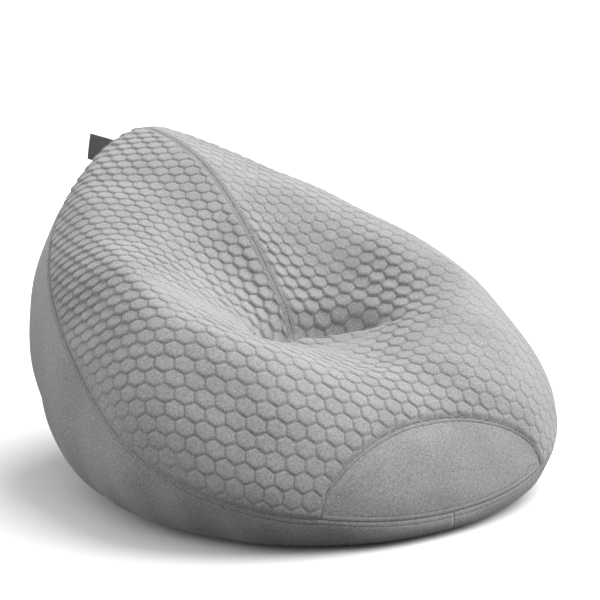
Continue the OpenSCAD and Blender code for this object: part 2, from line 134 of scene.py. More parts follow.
def crestHeight(turn):
    rise = bag["armHeight"] - bag["frontHeight"]
    past = 90 * np.maximum(0, 1 - fromPeak(180 - np.abs(turn)) / fromPeak(90))
    last = bag["peakHeight"] - bag["armHeight"] - rise * math.pi / 2
    rear = bag["armHeight"] + rise * np.radians(past) + last * (past / 90) ** bag["peakPower"]
    return np.where(cosine(turn) > 0, bag["frontHeight"] + rise * (1 - cosine(turn)), rear)


def girthHeight(turn):
    return around(turn, *bag["girthHeights"])


def fullness(turn):
    front, back = bag["wallFullness"]
    return front + (back - front) * (1 - cosine(turn)) / 2


def skin(turn, climb):
    turn, climb = np.broadcast_arrays(np.asarray(turn, float), np.asarray(climb, float))
    foot, girth, crest = (outline(turn, *bag[name]) for name in ("foot", "girth", "crest"))
    low, top = girthHeight(turn), crestHeight(turn)
    up = np.clip(climb, 0, 1)
    footR, footZ = foot + (girth - foot) * sine(90 * up), low * (1 - cosine(90 * up))
    up = np.clip(climb - 1, 0, 1)
    power = 2 / fullness(turn)
    wallR = crest + (girth - crest) * np.maximum(0, cosine(90 * up)) ** power
    wallZ = low + (top - low) * np.maximum(0, sine(90 * up)) ** power
    down = np.clip(3 - climb, 0, 1)
    soft, full = around(turn, *bag["seatSoftness"]), around(turn, *bag["seatFullness"])
    slope = (np.sqrt(down ** 2 + soft ** 2) - soft) / (np.sqrt(1 + soft ** 2) - soft)
    seatZ = bag["seatHeight"] + (top - bag["seatHeight"]) * (1 - (1 - slope) ** full)
    r = np.where(climb < 1, footR, np.where(climb < 2, wallR, crest * down))
    z = np.where(climb < 1, footZ, np.where(climb < 2, wallZ, seatZ))
    return np.stack([r * sine(turn), -r * cosine(turn), z], -1)


# What use has done to the filling: the seat's roll fills out, tucks under the backrest and leaves a crease.
settled = {
    "seatFill": (0.030, 0.150, 0.095, -0.010),    # height, half width, half length, place
    "seatStart": (2.0, 2.35),                     # climbs over which it sets in
    "crease": (0.042, 0.021),                     # depth, half width
    "creaseLine": (0.078, 3.4),                   # place behind the seat's middle, curve
    "creaseEnds": (0.10, 0.20),
    "creaseStart": (2.0, 2.2),
    "armSwell": (0.0105, 108, 26),                # height, turn, spread
    "shoulderSwell": (0.0015, 160, 12),
    "swellBand": (1.95, 0.35),                    # climb, spread
}


def settle(points, turn, climb):
    x, y = points[..., 0], points[..., 1]
    height, wide, long, place = settled["seatFill"]
    fill = height * bell(x, 0, wide) * bell(y, place, long) * smooth(climb, *settled["seatStart"])
    depth, width = settled["crease"]
    behind, curve = settled["creaseLine"]
    away = (y - behind + curve * x ** 2) / np.sqrt(1 + (2 * curve * x) ** 2)
    crease = depth * bell(away, 0, width) * (1 - smooth(np.abs(x), *settled["creaseEnds"]))
    crease *= smooth(climb, *settled["creaseStart"])
    swell = np.zeros_like(x)
    for name in ("armSwell", "shoulderSwell"):
        height, middle, spread = settled[name]
        swell += height * bell(np.abs(turn), middle, spread) * bell(climb, *settled["swellBand"])
    return points + np.stack([0 * x, 0 * x, fill - crease + swell], -1)


def outward(turn, climb):
    turn, climb = np.broadcast_arrays(np.asarray(turn, float), np.asarray(climb, float))
    along = skin(turn + 1, climb) - skin(turn - 1, climb)
    up = skin(turn, np.minimum(3, climb + 0.01)) - skin(turn, np.maximum(0, climb - 0.01))
    return np.where(climb[..., None] > 2.99, np.array([0.0, 0.0, 1.0]), unit(np.cross(along, up)))


def climbAt(turn, height):
    low, top = girthHeight(turn), crestHeight(turn)
    under = np.degrees(np.arccos(np.clip(1 - height / low, -1, 1))) / 90
    share = np.clip((height - low) / (top - low), 0, 1)
    over = 1 + np.degrees(np.arcsin(share ** (fullness(turn) / 2))) / 90
    return np.where(height < low, under, over)


def seamHeight(turn):
    up = np.clip((np.abs(turn) - bag["cornerTurn"]) / (180 - bag["cornerTurn"]), 0, 1)
    rise = crestHeight(turn) - bag["seamDrop"] - bag["cornerHeight"]
    return bag["cornerHeight"] + rise * (1 - (1 - up) ** bag["seamEnd"]) ** bag["seamStart"]


def archHeight(turn):
    share = np.clip(np.abs(turn) / bag["cornerTurn"], 0, 1) ** bag["archSquareness"]
    rise = bag["archHeight"] - bag["cornerHeight"]
    return bag["cornerHeight"] + rise * (1 - share) ** (1 / bag["archSquareness"])


def toeSeamHeight(turn):
    return bag["toeHeight"] + (bag["cornerHeight"] - bag["toeHeight"]) * (turn / bag["cornerTurn"]) ** 2


def topEdge(turn):
    inFront = np.abs(turn) < bag["cornerTurn"]
    return climbAt(turn, np.where(inFront, archHeight(turn), seamHeight(turn)))


def sideEdge(turn):
    inFront = np.abs(turn) < bag["cornerTurn"]
    return climbAt(turn, np.where(inFront, toeSeamHeight(turn), seamHeight(turn)))


def lengthAlong(points):
    return np.r_[0, np.cumsum(np.linalg.norm(np.diff(points, axis=0), axis=1))]


def evenClimbs(turn, start, end, count, crowd=1):
    # climbs from start to end at even distances over the bag, or crowded towards the end
    climbs = np.linspace(start, end, 400)
    walked = lengthAlong(skin(np.full_like(climbs, turn), climbs))
    share = 1 - (1 - np.linspace(0, 1, count + 1)) ** crowd
    return np.interp(share * walked[-1], walked, climbs)


def evenTurns(start, end, climb, count):
    turns = np.linspace(start, end, 1200)
    walked = lengthAlong(skin(turns, np.full_like(turns, climb)))
    return np.interp(np.linspace(0, walked[-1], count + 1), walked, turns)


def ripple(points, *waves):
    # soft unevenness: each wave is (length, height, seed)
    total = np.zeros(points.shape[:-1])
    for length, height, seed in waves:
        for k in range(4):
            angle, tilt = 2.4 * k + 1.7 * seed, 0.9 * math.cos(1.3 * k + seed)
            way = np.array([math.cos(angle), math.sin(angle), tilt])
            total += height / 2 * np.sin(2 * math.pi / length * (points @ way) + 2.1 * k * seed)
    return total


view = {
    "place": (-2.179, -2.816, 1.092),
    "azimuth": -37.15,
    "elevation": 11.37,
    "lens": 110.96,
    "sensor": 36,
    "farthest": 50,
}


def makeCamera():
    tilt, pan = math.radians(90 - view["elevation"]), math.radians(view["azimuth"])
    bpy.ops.object.camera_add(location=view["place"], rotation=(tilt, 0, pan))
    camera = bpy.context.object
    camera.name = "Camera"
    camera.data.lens = view["lens"]
    camera.data.sensor_width = view["sensor"]
    camera.data.clip_end = view["farthest"]
    bpy.context.scene.camera = camera


lights = {
    "sky": 0.30,
    "away": 3,
    "key": {"from": (0.71, -0.13, 0.69), "strength": 5.4, "softness": 80},
    "top": {"from": (-0.35, -0.20, 0.91), "strength": 0.75, "softness": 70},
    "rim": {"from": (-0.85, 0.50, 0.25), "strength": 1.6, "softness": 60},
}


def makeLights():
    world = bpy.data.worlds.new("StudioWhite")
    world.use_nodes = True
    world.node_tree.nodes["Background"].inputs[0].default_value = (1, 1, 1, 1)
    world.node_tree.nodes["Background"].inputs[1].default_value = lights["sky"]
    bpy.context.scene.world = world
    for name in ("key", "top", "rim"):
        made = lights[name]
        x, y, z = made["from"]
        place = [lights["away"] * part for part in made["from"]]
        tilt, pan = math.atan2(math.hypot(x, y), z), math.atan2(x, -y)
        bpy.ops.object.light_add(type="SUN", location=place, rotation=(tilt, 0, pan))
        lamp = bpy.context.object
        lamp.name = name + "Light"
        lamp.data.energy = made["strength"]
        lamp.data.angle = math.radians(made["softness"])


class Wire:
    # one output of a node, which takes Python's operators
    def __init__(self, finish, socket):
        self.finish, self.socket = finish, socket

    def join(self, operation, first, second):
        return self.finish.node("ShaderNodeMath", {"operation": operation}, {0: first, 1: second})

    def __add__(self, other):
        return self.join("ADD", self, other)

    __radd__ = __add__

    def __mul__(self, other):
        return self.join("MULTIPLY", self, other)

    __rmul__ = __mul__

    def __sub__(self, other):
        return self.join("SUBTRACT", self, other)

    def __rsub__(self, other):
        return self.join("SUBTRACT", other, self)

    def __pow__(self, other):
        return self.join("POWER", self, other)

    def sin(self):
        return self.finish.node("ShaderNodeMath", {"operation": "SINE"}, {0: self})


class Finish:
    # one material, built node by node
    def __init__(self, name, **uniform):
        self.material = bpy.data.materials.new(name)
        self.material.use_nodes = True
        self.tree = self.material.node_tree
        self.shader = self.tree.nodes["Principled BSDF"]
        for socket, value in uniform.items():
            self.shader.inputs[socket.replace("_", " ")].default_value = value

    def node(self, kind, settings, inputs, output=0):
        made = self.tree.nodes.new(kind)
        for name, value in settings.items():
            if name == "stops":
                for place, _ in value[2:]:
                    made.color_ramp.elements.new(place)
                for stop, (place, shade) in zip(made.color_ramp.elements, value):
                    stop.position, stop.color = place, (*shade, 1)
            else:
                setattr(made, name, value)
        for key, value in inputs.items():
            self.feed(made.inputs[key], value)
        return Wire(self, made.outputs[output])

    def feed(self, socket, value):
        if isinstance(value, Wire):
            self.tree.links.new(value.socket, socket)
        else:
            socket.default_value = value

    def places(self):
        return self.node("ShaderNodeTexCoord", {}, {}, "Object")

    def cloth(self):
        return self.node("ShaderNodeUVMap", {"uv_map": "Cloth"}, {})

    def kept(self, name):
        return self.node("ShaderNodeAttribute", {"attribute_name": name}, {}, "Fac")

    def noise(self, scale, detail=2.0, vector=None, rough=0.5):
        return self.node("ShaderNodeTexNoise", {}, {
            "Vector": vector or self.places(), "Scale": scale, "Detail": detail, "Roughness": rough})

    def stretched(self, vector, scale):
        return self.node("ShaderNodeMapping", {}, {"Vector": vector, "Scale": scale})

    def split(self, vector):
        parts = self.tree.nodes.new("ShaderNodeSeparateXYZ")
        self.feed(parts.inputs[0], vector)
        return [Wire(self, socket) for socket in parts.outputs]

    def ramp(self, value, *stops):
        return self.node("ShaderNodeValToRGB", {"stops": stops}, {0: value})

    def mix(self, share, first, second, kind="MIX"):
        made = self.tree.nodes.new("ShaderNodeMix")
        made.data_type, made.blend_type = "RGBA", kind
        for socket, value in ((made.inputs[0], share), (made.inputs[6], first), (made.inputs[7], second)):
            self.feed(socket, value)
        return Wire(self, made.outputs[2])

    def bump(self, height, strength, distance, below=None):
        inputs = {"Height": height, "Strength": strength, "Distance": distance}
        if below:
            inputs["Normal"] = below
        return self.node("ShaderNodeBump", {}, inputs)

    def done(self, colour=None, roughness=None, normal=None, metallic=None):
        fed = {"Base Color": colour, "Roughness": roughness, "Normal": normal, "Metallic": metallic}
        for socket, value in fed.items():
            if value is not None:
                self.feed(self.shader.inputs[socket], value)
        return self.material


def grey(value, warm=0.0):
    return (value * (1 + warm), value, value * (1 - warm))


# plain weave of light and dark spun yarns: how close its yarns, specks and clouds lie, and their shares
weaving = {
    "yarnThin": 620,
    "yarnLong": 130,
    "specks": 330.0,
    "clouds": 11.0,
    "shares": (0.30, 0.28, 0.12),      # yarns each way, specks, clouds
    "tones": (0.41, 0.50, 0.59),       # where dark, middle and light yarns stand
    # painted shade: how far the cloth's colour darkens in the quilting's grooves
    "grooveShade": 0.15,
    "relief": (0.35, 0.0004),          # strength and depth
}


def melangeCloth(name, light, dark, warm=0.0, pitch=0.0013, paintGrooveShade=False):
    finish = Finish(name, Sheen_Weight=0.25, Sheen_Roughness=0.5, Specular_IOR_Level=0.25)
    flat = finish.cloth()
    across, along, _ = finish.split(flat)
    warp = (across * (2 * math.pi / pitch)).sin()
    weft = (along * (2 * math.pi / pitch)).sin()
    weave = warp * weft * 0.5 + 0.5
    thin, long = weaving["yarnThin"], weaving["yarnLong"]
    yarnsAcross = finish.noise(1.0, 2.0, finish.stretched(flat, (thin, long, 1)), 0.6)
    yarnsAlong = finish.noise(1.0, 2.0, finish.stretched(flat, (long, thin, 1)), 0.6)
    specks = finish.noise(weaving["specks"], 2.0, finish.places(), 0.6)
    clouds = finish.noise(weaving["clouds"], 3.0, finish.places(), 0.55)
    ofYarn, ofSpecks, ofClouds = weaving["shares"]
    tone = yarnsAcross * ofYarn + yarnsAlong * ofYarn + specks * ofSpecks + clouds * ofClouds
    shades = [grey(shade, warm) for shade in (dark, (light + dark) / 2, light)]
    colour = finish.ramp(tone, *zip(weaving["tones"], shades))
    # painted shade: the colour darkens towards half the dark yarn's tone in the quilting's grooves
    if paintGrooveShade:
        wearAndShade = finish.kept("groove")
        colour = finish.mix(wearAndShade * weaving["grooveShade"], colour, (*grey(dark * 0.5, warm), 1))
    normal = finish.bump(weave * 0.6 + specks * 0.8, *weaving["relief"])
    rough = clouds * 0.12 + 0.80
    return finish.done(colour, rough, normal)


def spunThread(name, shade):
    finish = Finish(name, Sheen_Weight=0.2, Specular_IOR_Level=0.4)
    x, y, z = finish.split(finish.places())
    twist = ((x + y * 1.3 + z * 0.8) * 5200).sin()
    fuzz = finish.noise(900.0, 2.0)
    colour = finish.ramp(fuzz + twist * 0.1, (0.3, grey(shade * 0.75)), (0.75, grey(shade * 1.2)))
    return finish.done(colour, fuzz * 0.2 + 0.6, finish.bump(twist, 0.4, 0.0002))


def wovenTape(name, shade):
    finish = Finish(name, Sheen_Weight=0.15, Specular_IOR_Level=0.35)
    x, y, z = finish.split(finish.places())
    ribs = ((x + y) * 3600).sin() * 0.5 + ((x - y) * 3600).sin() * 0.5
    fuzz = finish.noise(400.0, 3.0)
    colour = finish.ramp(fuzz + ribs * 0.08, (0.3, grey(shade * 0.7)), (0.75, grey(shade * 1.35)))
    return finish.done(colour, fuzz * 0.15 + 0.7, finish.bump(ribs, 0.5, 0.0003))


def mouldedNylon(name, shade):
    finish = Finish(name, Specular_IOR_Level=0.5)
    cloud = finish.noise(60.0, 3.0)
    fine = finish.noise(700.0, 2.0)
    colour = finish.ramp(cloud, (0.3, grey(shade * 0.85)), (0.7, grey(shade * 1.15)))
    return finish.done(colour, fine * 0.2 + 0.35, finish.bump(fine, 0.2, 0.0001))


def coatedMetal(name, shade):
    finish = Finish(name, Specular_IOR_Level=0.5)
    scuffs = finish.noise(1.0, 4.0, finish.stretched(finish.places(), (2400, 160, 600)), 0.7)
    cloud = finish.noise(90.0, 3.0)
    wearAndShade = finish.ramp(scuffs, (0.62, (0, 0, 0)), (0.78, (1, 1, 1)))
    colour = finish.mix(wearAndShade, (*grey(shade), 1), (*grey(min(0.8, shade * 2.5)), 1))
    return finish.done(colour, cloud * 0.2 + 0.28, finish.bump(scuffs, 0.15, 0.0001), 0.85)


def softWadding(name, shade):
    finish = Finish(name, Sheen_Weight=0.4, Specular_IOR_Level=0.2)
    fibres = finish.noise(1.0, 4.0, finish.stretched(finish.places(), (300, 300, 60)), 0.8)
    clumps = finish.noise(30.0, 4.0)
    colour = finish.ramp(fibres * 0.6 + clumps * 0.4, (0.35, grey(shade * 0.9)), (0.65, grey(shade)))
    return finish.done(colour, clumps * 0.1 + 0.88, finish.bump(fibres + clumps, 0.6, 0.001))


def spunbond(name, shade):
    # bonded sheet with a fine grid of pressed dots
    finish = Finish(name, Sheen_Weight=0.1, Specular_IOR_Level=0.35)
    across, along, _ = finish.split(finish.cloth())
    dots = ((across * 2900).sin() * (along * 2900).sin()) ** 2
    fibres = finish.noise(420.0, 4.0, finish.places(), 0.8)
    colour = finish.ramp(fibres + dots * 0.05, (0.3, grey(shade * 0.92)), (0.7, grey(shade)))
    return finish.done(colour, fibres * 0.2 + 0.6, finish.bump(dots * 0.6 + fibres * 0.5, 0.4, 0.0003))


def foamBeads(name, shade):
    finish = Finish(name, Specular_IOR_Level=0.4)
    inputs = {"Vector": finish.places(), "Scale": 260.0}
    cells = finish.node("ShaderNodeTexVoronoi", {}, inputs, "Distance")
    tint = finish.noise(40.0)
    colour = finish.ramp(tint, (0.35, grey(shade * 0.93)), (0.65, grey(shade)))
    return finish.done(colour, cells * 0.3 + 0.45, finish.bump(1 - cells, 1.0, 0.002))


print("materials")
finishes = {
    "quilt_cloth": melangeCloth("QuiltCloth", 0.365, 0.185, 0.004, paintGrooveShade=True),
    "plain_cloth": melangeCloth("PlainCloth", 0.360, 0.175, 0.014),
    "base_cloth": melangeCloth("BaseCloth", 0.055, 0.028, pitch=0.0018),
    "thread": spunThread("Thread", 0.22),
    "label_cloth": wovenTape("LabelCloth", 0.15),
    "label_thread": spunThread("LabelThread", 0.04),
    "zip_tape": wovenTape("ZipTape", 0.05),
    "zip_teeth": mouldedNylon("ZipTeeth", 0.06),
    "zip_metal": coatedMetal("ZipMetal", 0.12),
    "wadding": softWadding("Wadding", 0.82),
    "backing": spunbond("Backing", 0.70),
    "liner_cloth": spunbond("LinerCloth", 0.78),
    "liner_zip_tape": wovenTape("LinerZipTape", 0.72),
    "liner_zip_teeth": mouldedNylon("LinerZipTeeth", 0.68),
    "liner_zip_metal": coatedMetal("LinerZipMetal", 0.45),
    "beads": foamBeads("FoamBeads", 0.90),
}


def deselectAll():
    for obj in bpy.context.view_layer.objects:
        obj.select_set(False)


def makeObject(name, points, faces, flat=None):
    mesh = bpy.data.meshes.new(name)
    mesh.from_pydata(np.asarray(points).tolist(), [], faces)
    mesh.update()
    if flat is not None:
        layer = mesh.uv_layers.new(name="Cloth")
        corner = np.zeros(len(mesh.loops), np.int32)
        mesh.loops.foreach_get("vertex_index", corner)
        layer.data.foreach_set("uv", np.asarray(flat, np.float32)[corner].ravel())
    obj = bpy.data.objects.new(name, mesh)
    bpy.context.scene.collection.objects.link(obj)
    return obj


def pick(obj):
    deselectAll()
    bpy.context.view_layer.objects.active = obj
    obj.select_set(True)


def thicken(obj, thickness):
    # gives a sheet its thickness, inwards
    pick(obj)
    wall = obj.modifiers.new("Thickness", "SOLIDIFY")
    wall.thickness = thickness
    wall.offset = -1
    wall.use_quality_normals = True
    bpy.ops.object.modifier_apply(modifier=wall.name)


def finishPiece(obj, body, slot, nodes):
    mesh = obj.data
    mesh.materials.clear()
    mesh.materials.append(finishes[slot])
    mesh.polygons.foreach_set("use_smooth", [True] * len(mesh.polygons))
    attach(obj, body)
    if nodes:
        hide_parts(*nodes)
    return obj


def gridFaces(columns, rows):
    # faces of a grid whose points run up each column in turn
    corner = np.arange(columns)[:, None] * (rows + 1) + np.arange(rows)[None, :]
    corner = corner.ravel()
    return np.stack([corner, corner + rows + 1, corner + rows + 2, corner + 1], 1).tolist()


# The quilting: hexagons sewn through face cloth, wadding and backing.
quilt = {
    "pitch": 0.0345,              # hexagon's width across its flats
    "rows": -23.5,                # direction of the rows on the flat cloth, in degrees
    "fineness": 5,                # small triangles along a hexagon's side
    "ringCrowd": 1.35,            # how far a hexagon's rings crowd towards its groove
    "puff": 0.0032,
    "sunk": 0.62,                 # share of a puff that lies below the cloth's mean
    "crown": 7,                   # flatness of a puff's top
    "uneven": ((0.13, 0.16, 1), (0.05, 0.10, 2)),
    "lean": 0.0010,               # how far a puff tips forward, in general
    "leanInCrease": 0.0042,
    "leanWay": (-0.55, -0.83),
    "leanRound": 6,
    "stretchedLoss": 0.78,        # how much lower a puff is on stretched cloth
    "crowdedGain": 0.55,
    "seamFade": (0.002, 0.011),
    "seamValley": (0.0016, 0.003),   # depth and half width
    "seamRise": 0.012,            # distance over which the quilting rises from its seam
    "tightFront": ((20, 45, 100, 140), 0.55, 0.085),   # turns on the right, loss and width
    "backStrip": (0.0105, 0.0145),
    "backValley": (0.0012, 0.0016),
    "backEnd": (2.84, 2.90),
    "stripSunk": 0.25,
    "swell": ((0.42, 0.0032, 3), (0.21, 0.0018, 5)),
    "swellFade": 0.06,
    "wrinkleFade": 0.05,
    # painted shade in the grooves: where it starts across a hexagon, and how much less of it stretched
    # cloth shows
    "grooveShadeStart": 0.80,
    "grooveShadeLoss": 0.6,
    "gathered": (0.25, 0.30),     # share and reach of the cloth pushed together over the right arm
    "gatheredFrom": (0.12, 0.50),
    "dartTip": 2.93,
    "patternGrid": (120, 60),
    "patternClimb": 1.6,
    "patternMiddle": 1.8,
    "faceCloth": 0.0010,
    "wadding": 0.0016,
    "backing": 0.0004,
}


def unwrapped(points, faces):
    # the points laid flat at their real size
    obj = makeObject("QuiltPattern", points, faces, np.zeros((len(points), 2)))
    pick(obj)
    bpy.ops.object.mode_set(mode="EDIT")
    bpy.ops.mesh.select_all(action="SELECT")
    bpy.ops.uv.unwrap(method="ANGLE_BASED", margin=0)
    bpy.ops.object.mode_set(mode="OBJECT")
    mesh = obj.data
    uv, corner = np.zeros(len(mesh.loops) * 2, np.float32), np.zeros(len(mesh.loops), np.int32)
    mesh.uv_layers["Cloth"].data.foreach_get("uv", uv)
    mesh.loops.foreach_get("vertex_index", corner)
    flat = np.zeros((len(points), 2))
    flat[corner] = uv.reshape(-1, 2)
    edges = np.array([edge.vertices[:] for edge in mesh.edges])
    real = np.linalg.norm(points[edges[:, 0]] - points[edges[:, 1]], axis=1)
    drawn = np.linalg.norm(flat[edges[:, 0]] - flat[edges[:, 1]], axis=1)
    bpy.data.objects.remove(obj)
    return flat * np.median(real / drawn)


def turned(flat, degrees):
    c, s = math.cos(math.radians(degrees)), math.sin(math.radians(degrees))
    return np.stack([flat[:, 0] * c - flat[:, 1] * s, flat[:, 0] * s + flat[:, 1] * c], 1)


def flattenedQuilt():
    # a coarse grid over the quilting, flattened as the cutter's pattern is, with its rows of hexagons level
    columns, rows = quilt["patternGrid"]
    turns = evenTurns(-180, 180, quilt["patternClimb"], columns)
    turns = np.sort(np.r_[turns, -bag["cornerTurn"], bag["cornerTurn"]])
    columns = len(turns) - 1
    climbs = np.array([evenClimbs(t, float(topEdge(t)), quilt["dartTip"], rows) for t in turns])
    spread = np.repeat(turns[:, None], rows + 1, 1)
    points = settle(skin(spread, climbs), spread, climbs).reshape(-1, 3)
    points = np.r_[points, [settle(skin(0, 3), 0, 3)]]
    pole = len(points) - 1
    outer = np.arange(columns + 1) * (rows + 1)
    faces = gridFaces(columns, rows) + [[a, a + rows + 1, pole] for a in (outer[:-1] + rows).tolist()]
    flat = unwrapped(points, faces)
    # first turned so that the cloth under the front middle points away from the sitter
    front = np.argmin(np.abs(turns))
    way = flat[pole] - flat[outer[front] + np.argmin(np.abs(climbs[front] - quilt["patternMiddle"]))]
    flat = turned(flat - flat[pole], 90 - math.degrees(math.atan2(way[1], way[0])))
    flat = turned(flat, -quilt["rows"])
    triangles = []
    for face in faces:
        triangles += [[face[0], second, third] for second, third in zip(face[1:-1], face[2:])]
    column = np.arange(rows + 1)
    return {"flat": flat, "triangles": triangles, "rim": flat[outer],
            "dart": (flat[column], flat[outer[-1] + column]),
            "places": np.r_[np.stack([spread, climbs], -1).reshape(-1, 2), [[0, 3.0]]]}


def hexShare(flat):
    # 0 in the middle of a hexagon and 1 on its edge, with the middle's place
    pitch = quilt["pitch"]
    tall = pitch * math.sqrt(3)
    first = np.round(flat / (pitch, tall)) * (pitch, tall)
    second = (np.round(flat / (pitch, tall) - 0.5) + 0.5) * (pitch, tall)
    nearFirst = ((flat - first) ** 2).sum(1) < ((flat - second) ** 2).sum(1)
    middle = np.where(nearFirst[:, None], first, second)
    off = flat - middle
    ways = [(1, 0), (0.5, math.sqrt(3) / 2), (0.5, -math.sqrt(3) / 2)]
    share = np.max([np.abs(off @ np.array(way)) for way in ways], axis=0) / (pitch / 2)
    return np.clip(share, 0, 1), middle


def gathered(spots):
    share, reach = quilt["gathered"]
    pushed = smooth(-spots[:, 0], *quilt["gatheredFrom"]) * share * reach * np.tanh(spots[:, 1] / reach)
    return spots - np.stack([0 * pushed, pushed], 1)


def smallTriangles(low, high, side):
    # a lattice of small triangles over a box
    across, up = side * np.array([math.sqrt(3) / 2, 0.5]), side * np.array([0, 1.0])
    i = np.arange(math.floor(low[0] / across[0]), math.ceil(high[0] / across[0]) + 1)
    reach = int(math.ceil((high[1] - low[1]) / side)) + len(i)
    gridI, gridJ = np.meshgrid(i, np.arange(-reach, reach + 1), indexing="ij")
    lattice = gridI[..., None] * across + gridJ[..., None] * up
    keep = (lattice[..., 1] > low[1]) & (lattice[..., 1] < high[1])
    number = -np.ones(keep.shape, int)
    number[keep] = np.arange(keep.sum())
    cells = []
    for corners in ((number[:-1, :-1], number[1:, :-1], number[:-1, 1:]),
                    (number[1:, :-1], number[1:, 1:], number[:-1, 1:])):
        cell = np.stack(corners, -1).reshape(-1, 3)
        cells.append(cell[(cell >= 0).all(1)])
    return lattice[keep], np.concatenate(cells)


def crossed(a, b):
    return a[:, 0] * b[:, 1] - a[:, 1] * b[:, 0]


def onPattern(pattern, spots):
    # the pattern's nearest point to each spot, its place on the bag and its distance
    flat, places = pattern["flat"], pattern["places"]
    tree = BVHTree.FromPolygons([(x, y, 0.0) for x, y in flat.tolist()], pattern["triangles"])
    found = [tree.find_nearest((x, y, 0.0)) for x, y in spots.tolist()]
    hit = np.array([f[0][:2] for f in found])
    owner = np.array(pattern["triangles"])[[f[2] for f in found]]
    a, b, c = (flat[owner[:, k]] for k in range(3))
    size = crossed(b - a, c - a)
    shareB, shareC = crossed(hit - a, c - a) / size, crossed(b - a, hit - a) / size
    corners = [places[owner[:, k]].copy() for k in range(3)]
    for k, corner in enumerate(corners):
        # the seat's middle has no turn of its own
        middle = corner[:, 1] > 2.999
        corner[middle, 0] = (corners[k - 1][middle, 0] + corners[k - 2][middle, 0]) / 2
    first, second, third = corners
    place = first + (second - first) * shareB[:, None] + (third - first) * shareC[:, None]
    return hit, place, np.array([f[3] for f in found])


def quiltLattice(pattern, fineness):
    # triangles whose edges follow the hexagons, with their places on the bag
    side = quilt["pitch"] / math.sqrt(3) / fineness
    spare = 2 * side + quilt["gathered"][0] * quilt["gathered"][1]
    spots, cells = smallTriangles(pattern["flat"].min(0) - spare, pattern["flat"].max(0) + spare, side)
    ring, middle = hexShare(spots)
    share = 1 - (1 - ring) ** quilt["ringCrowd"]
    spots = middle + (spots - middle) * (share / np.maximum(ring, 1e-6))[:, None]
    hit, place, gap = onPattern(pattern, gathered(spots))
    inside, near = gap < 1e-6, gap < 1.2 * side
    cells = cells[inside[cells].any(1) & near[cells].all(1)]
    used = np.unique(cells)
    fresh = -np.ones(len(spots), int)
    fresh[used] = np.arange(len(used))
    return {"cells": fresh[cells], "flat": hit[used], "share": share[used], "place": place[used],
            "off": ((spots - middle) / (quilt["pitch"] / 2))[used]}


def lineDistance(spots, line):
    best = np.full(len(spots), np.inf)
    for start, end in zip(line[:-1], line[1:]):
        step = end - start
        along = np.clip(((spots - start) @ step) / (step @ step), 0, 1)
        best = np.minimum(best, np.linalg.norm(spots - start - along[:, None] * step, axis=1))
    return best


def edgeDistances(lattice, pattern):
    # distances from the quilting's outer edge and from the back seam
    fromRim = lineDistance(lattice["flat"], pattern["rim"])
    return fromRim, np.minimum(*(lineDistance(lattice["flat"], side) for side in pattern["dart"]))


# Where the cloth is stretched and its puffs lie flat (the first four), and where they are pushed over each
# other. A band is (start, full, fade, end), a start or end is two values, a spot is (middle, spread).
zones = {
    "rightRidge": {"turn": 97, "bend": 150, "climb": 2.3, "spread": 9,
                   "climbBand": (1.90, 2.10, 2.50, 2.68)},
    "leftOutside": {"turnBand": (15, 50, 120, 150), "climbEnd": (2.05, 2.30), "share": 0.80},
    "leftBack": {"turnStart": (105, 140), "climbBand": (1.75, 2.00, 2.50, 2.68), "share": 0.50},
    "rollBack": {"turnEnd": (60, 125), "climbStart": (2.45, 2.70), "share": 0.72},
    "leftInside": {"turn": (100, 26), "climb": (2.43, 0.20)},
    "backFoot": {"turnStart": (95, 135), "climb": (2.74, 0.16), "share": 0.8},
    "peakSides": {"turn": (166, 15), "climb": (1.9, 0.28), "share": 0.7},
    "rightOutside": {"turn": (-118, 28), "climb": (1.6, 0.3), "share": 0.9},
}


def quiltZones(turn, climb):
    side = np.abs(turn)
    zone = zones["rightRidge"]
    ridge = zone["turn"] + zone["bend"] * (climb - zone["climb"]) ** 2
    rightRidge = bell(side, ridge, zone["spread"]) * between(climb, *zone["climbBand"])
    zone = zones["leftOutside"]
    leftOutside = zone["share"] * between(turn, *zone["turnBand"]) * (1 - smooth(climb, *zone["climbEnd"]))
    zone = zones["leftBack"]
    leftBack = zone["share"] * smooth(side, *zone["turnStart"]) * between(climb, *zone["climbBand"])
    zone = zones["rollBack"]
    rollBack = zone["share"] * (1 - smooth(side, *zone["turnEnd"])) * smooth(climb, *zone["climbStart"])
    stretched = np.where(turn > 0, np.maximum(leftOutside, leftBack), rightRidge)
    zone = zones["leftInside"]
    crowded = np.where(turn > 0, bell(side, *zone["turn"]) * bell(climb, *zone["climb"]), 0)
    zone = zones["backFoot"]
    crowded = crowded + zone["share"] * smooth(side, *zone["turnStart"]) * bell(climb, *zone["climb"])
    for name, around in (("peakSides", side), ("rightOutside", turn)):
        zone = zones[name]
        crowded = crowded + zone["share"] * bell(around, *zone["turn"]) * bell(climb, *zone["climb"])
    return np.maximum(stretched, rollBack), np.clip(crowded, 0, 1)


# Folds that fan out from the foot of the backrest over the arms' insides.
folds = {
    "height": 0.0032,
    "sides": ((-1, 0.6), (1, 0.35)),     # side and share
    "turn": (112, 30),
    "climb": (2.48, 0.22),
    "waves": (2.5, 46, 0.05),            # climb they start from, waves up a climb, waves round a turn
    "weave": (0.8, 0.09),
}


def wrinkles(turn, climb):
    total = np.zeros_like(turn)
    start, up, sideways = folds["waves"]
    sway, swayWaves = folds["weave"]
    for side, share in folds["sides"]:
        t = turn * side
        phase = (climb - start) * up + t * sideways + sway * np.sin(t * swayWaves)
        place = bell(t, *folds["turn"]) * bell(climb, *folds["climb"])
        total += share * place * folds["height"] * np.sin(phase)
    return total


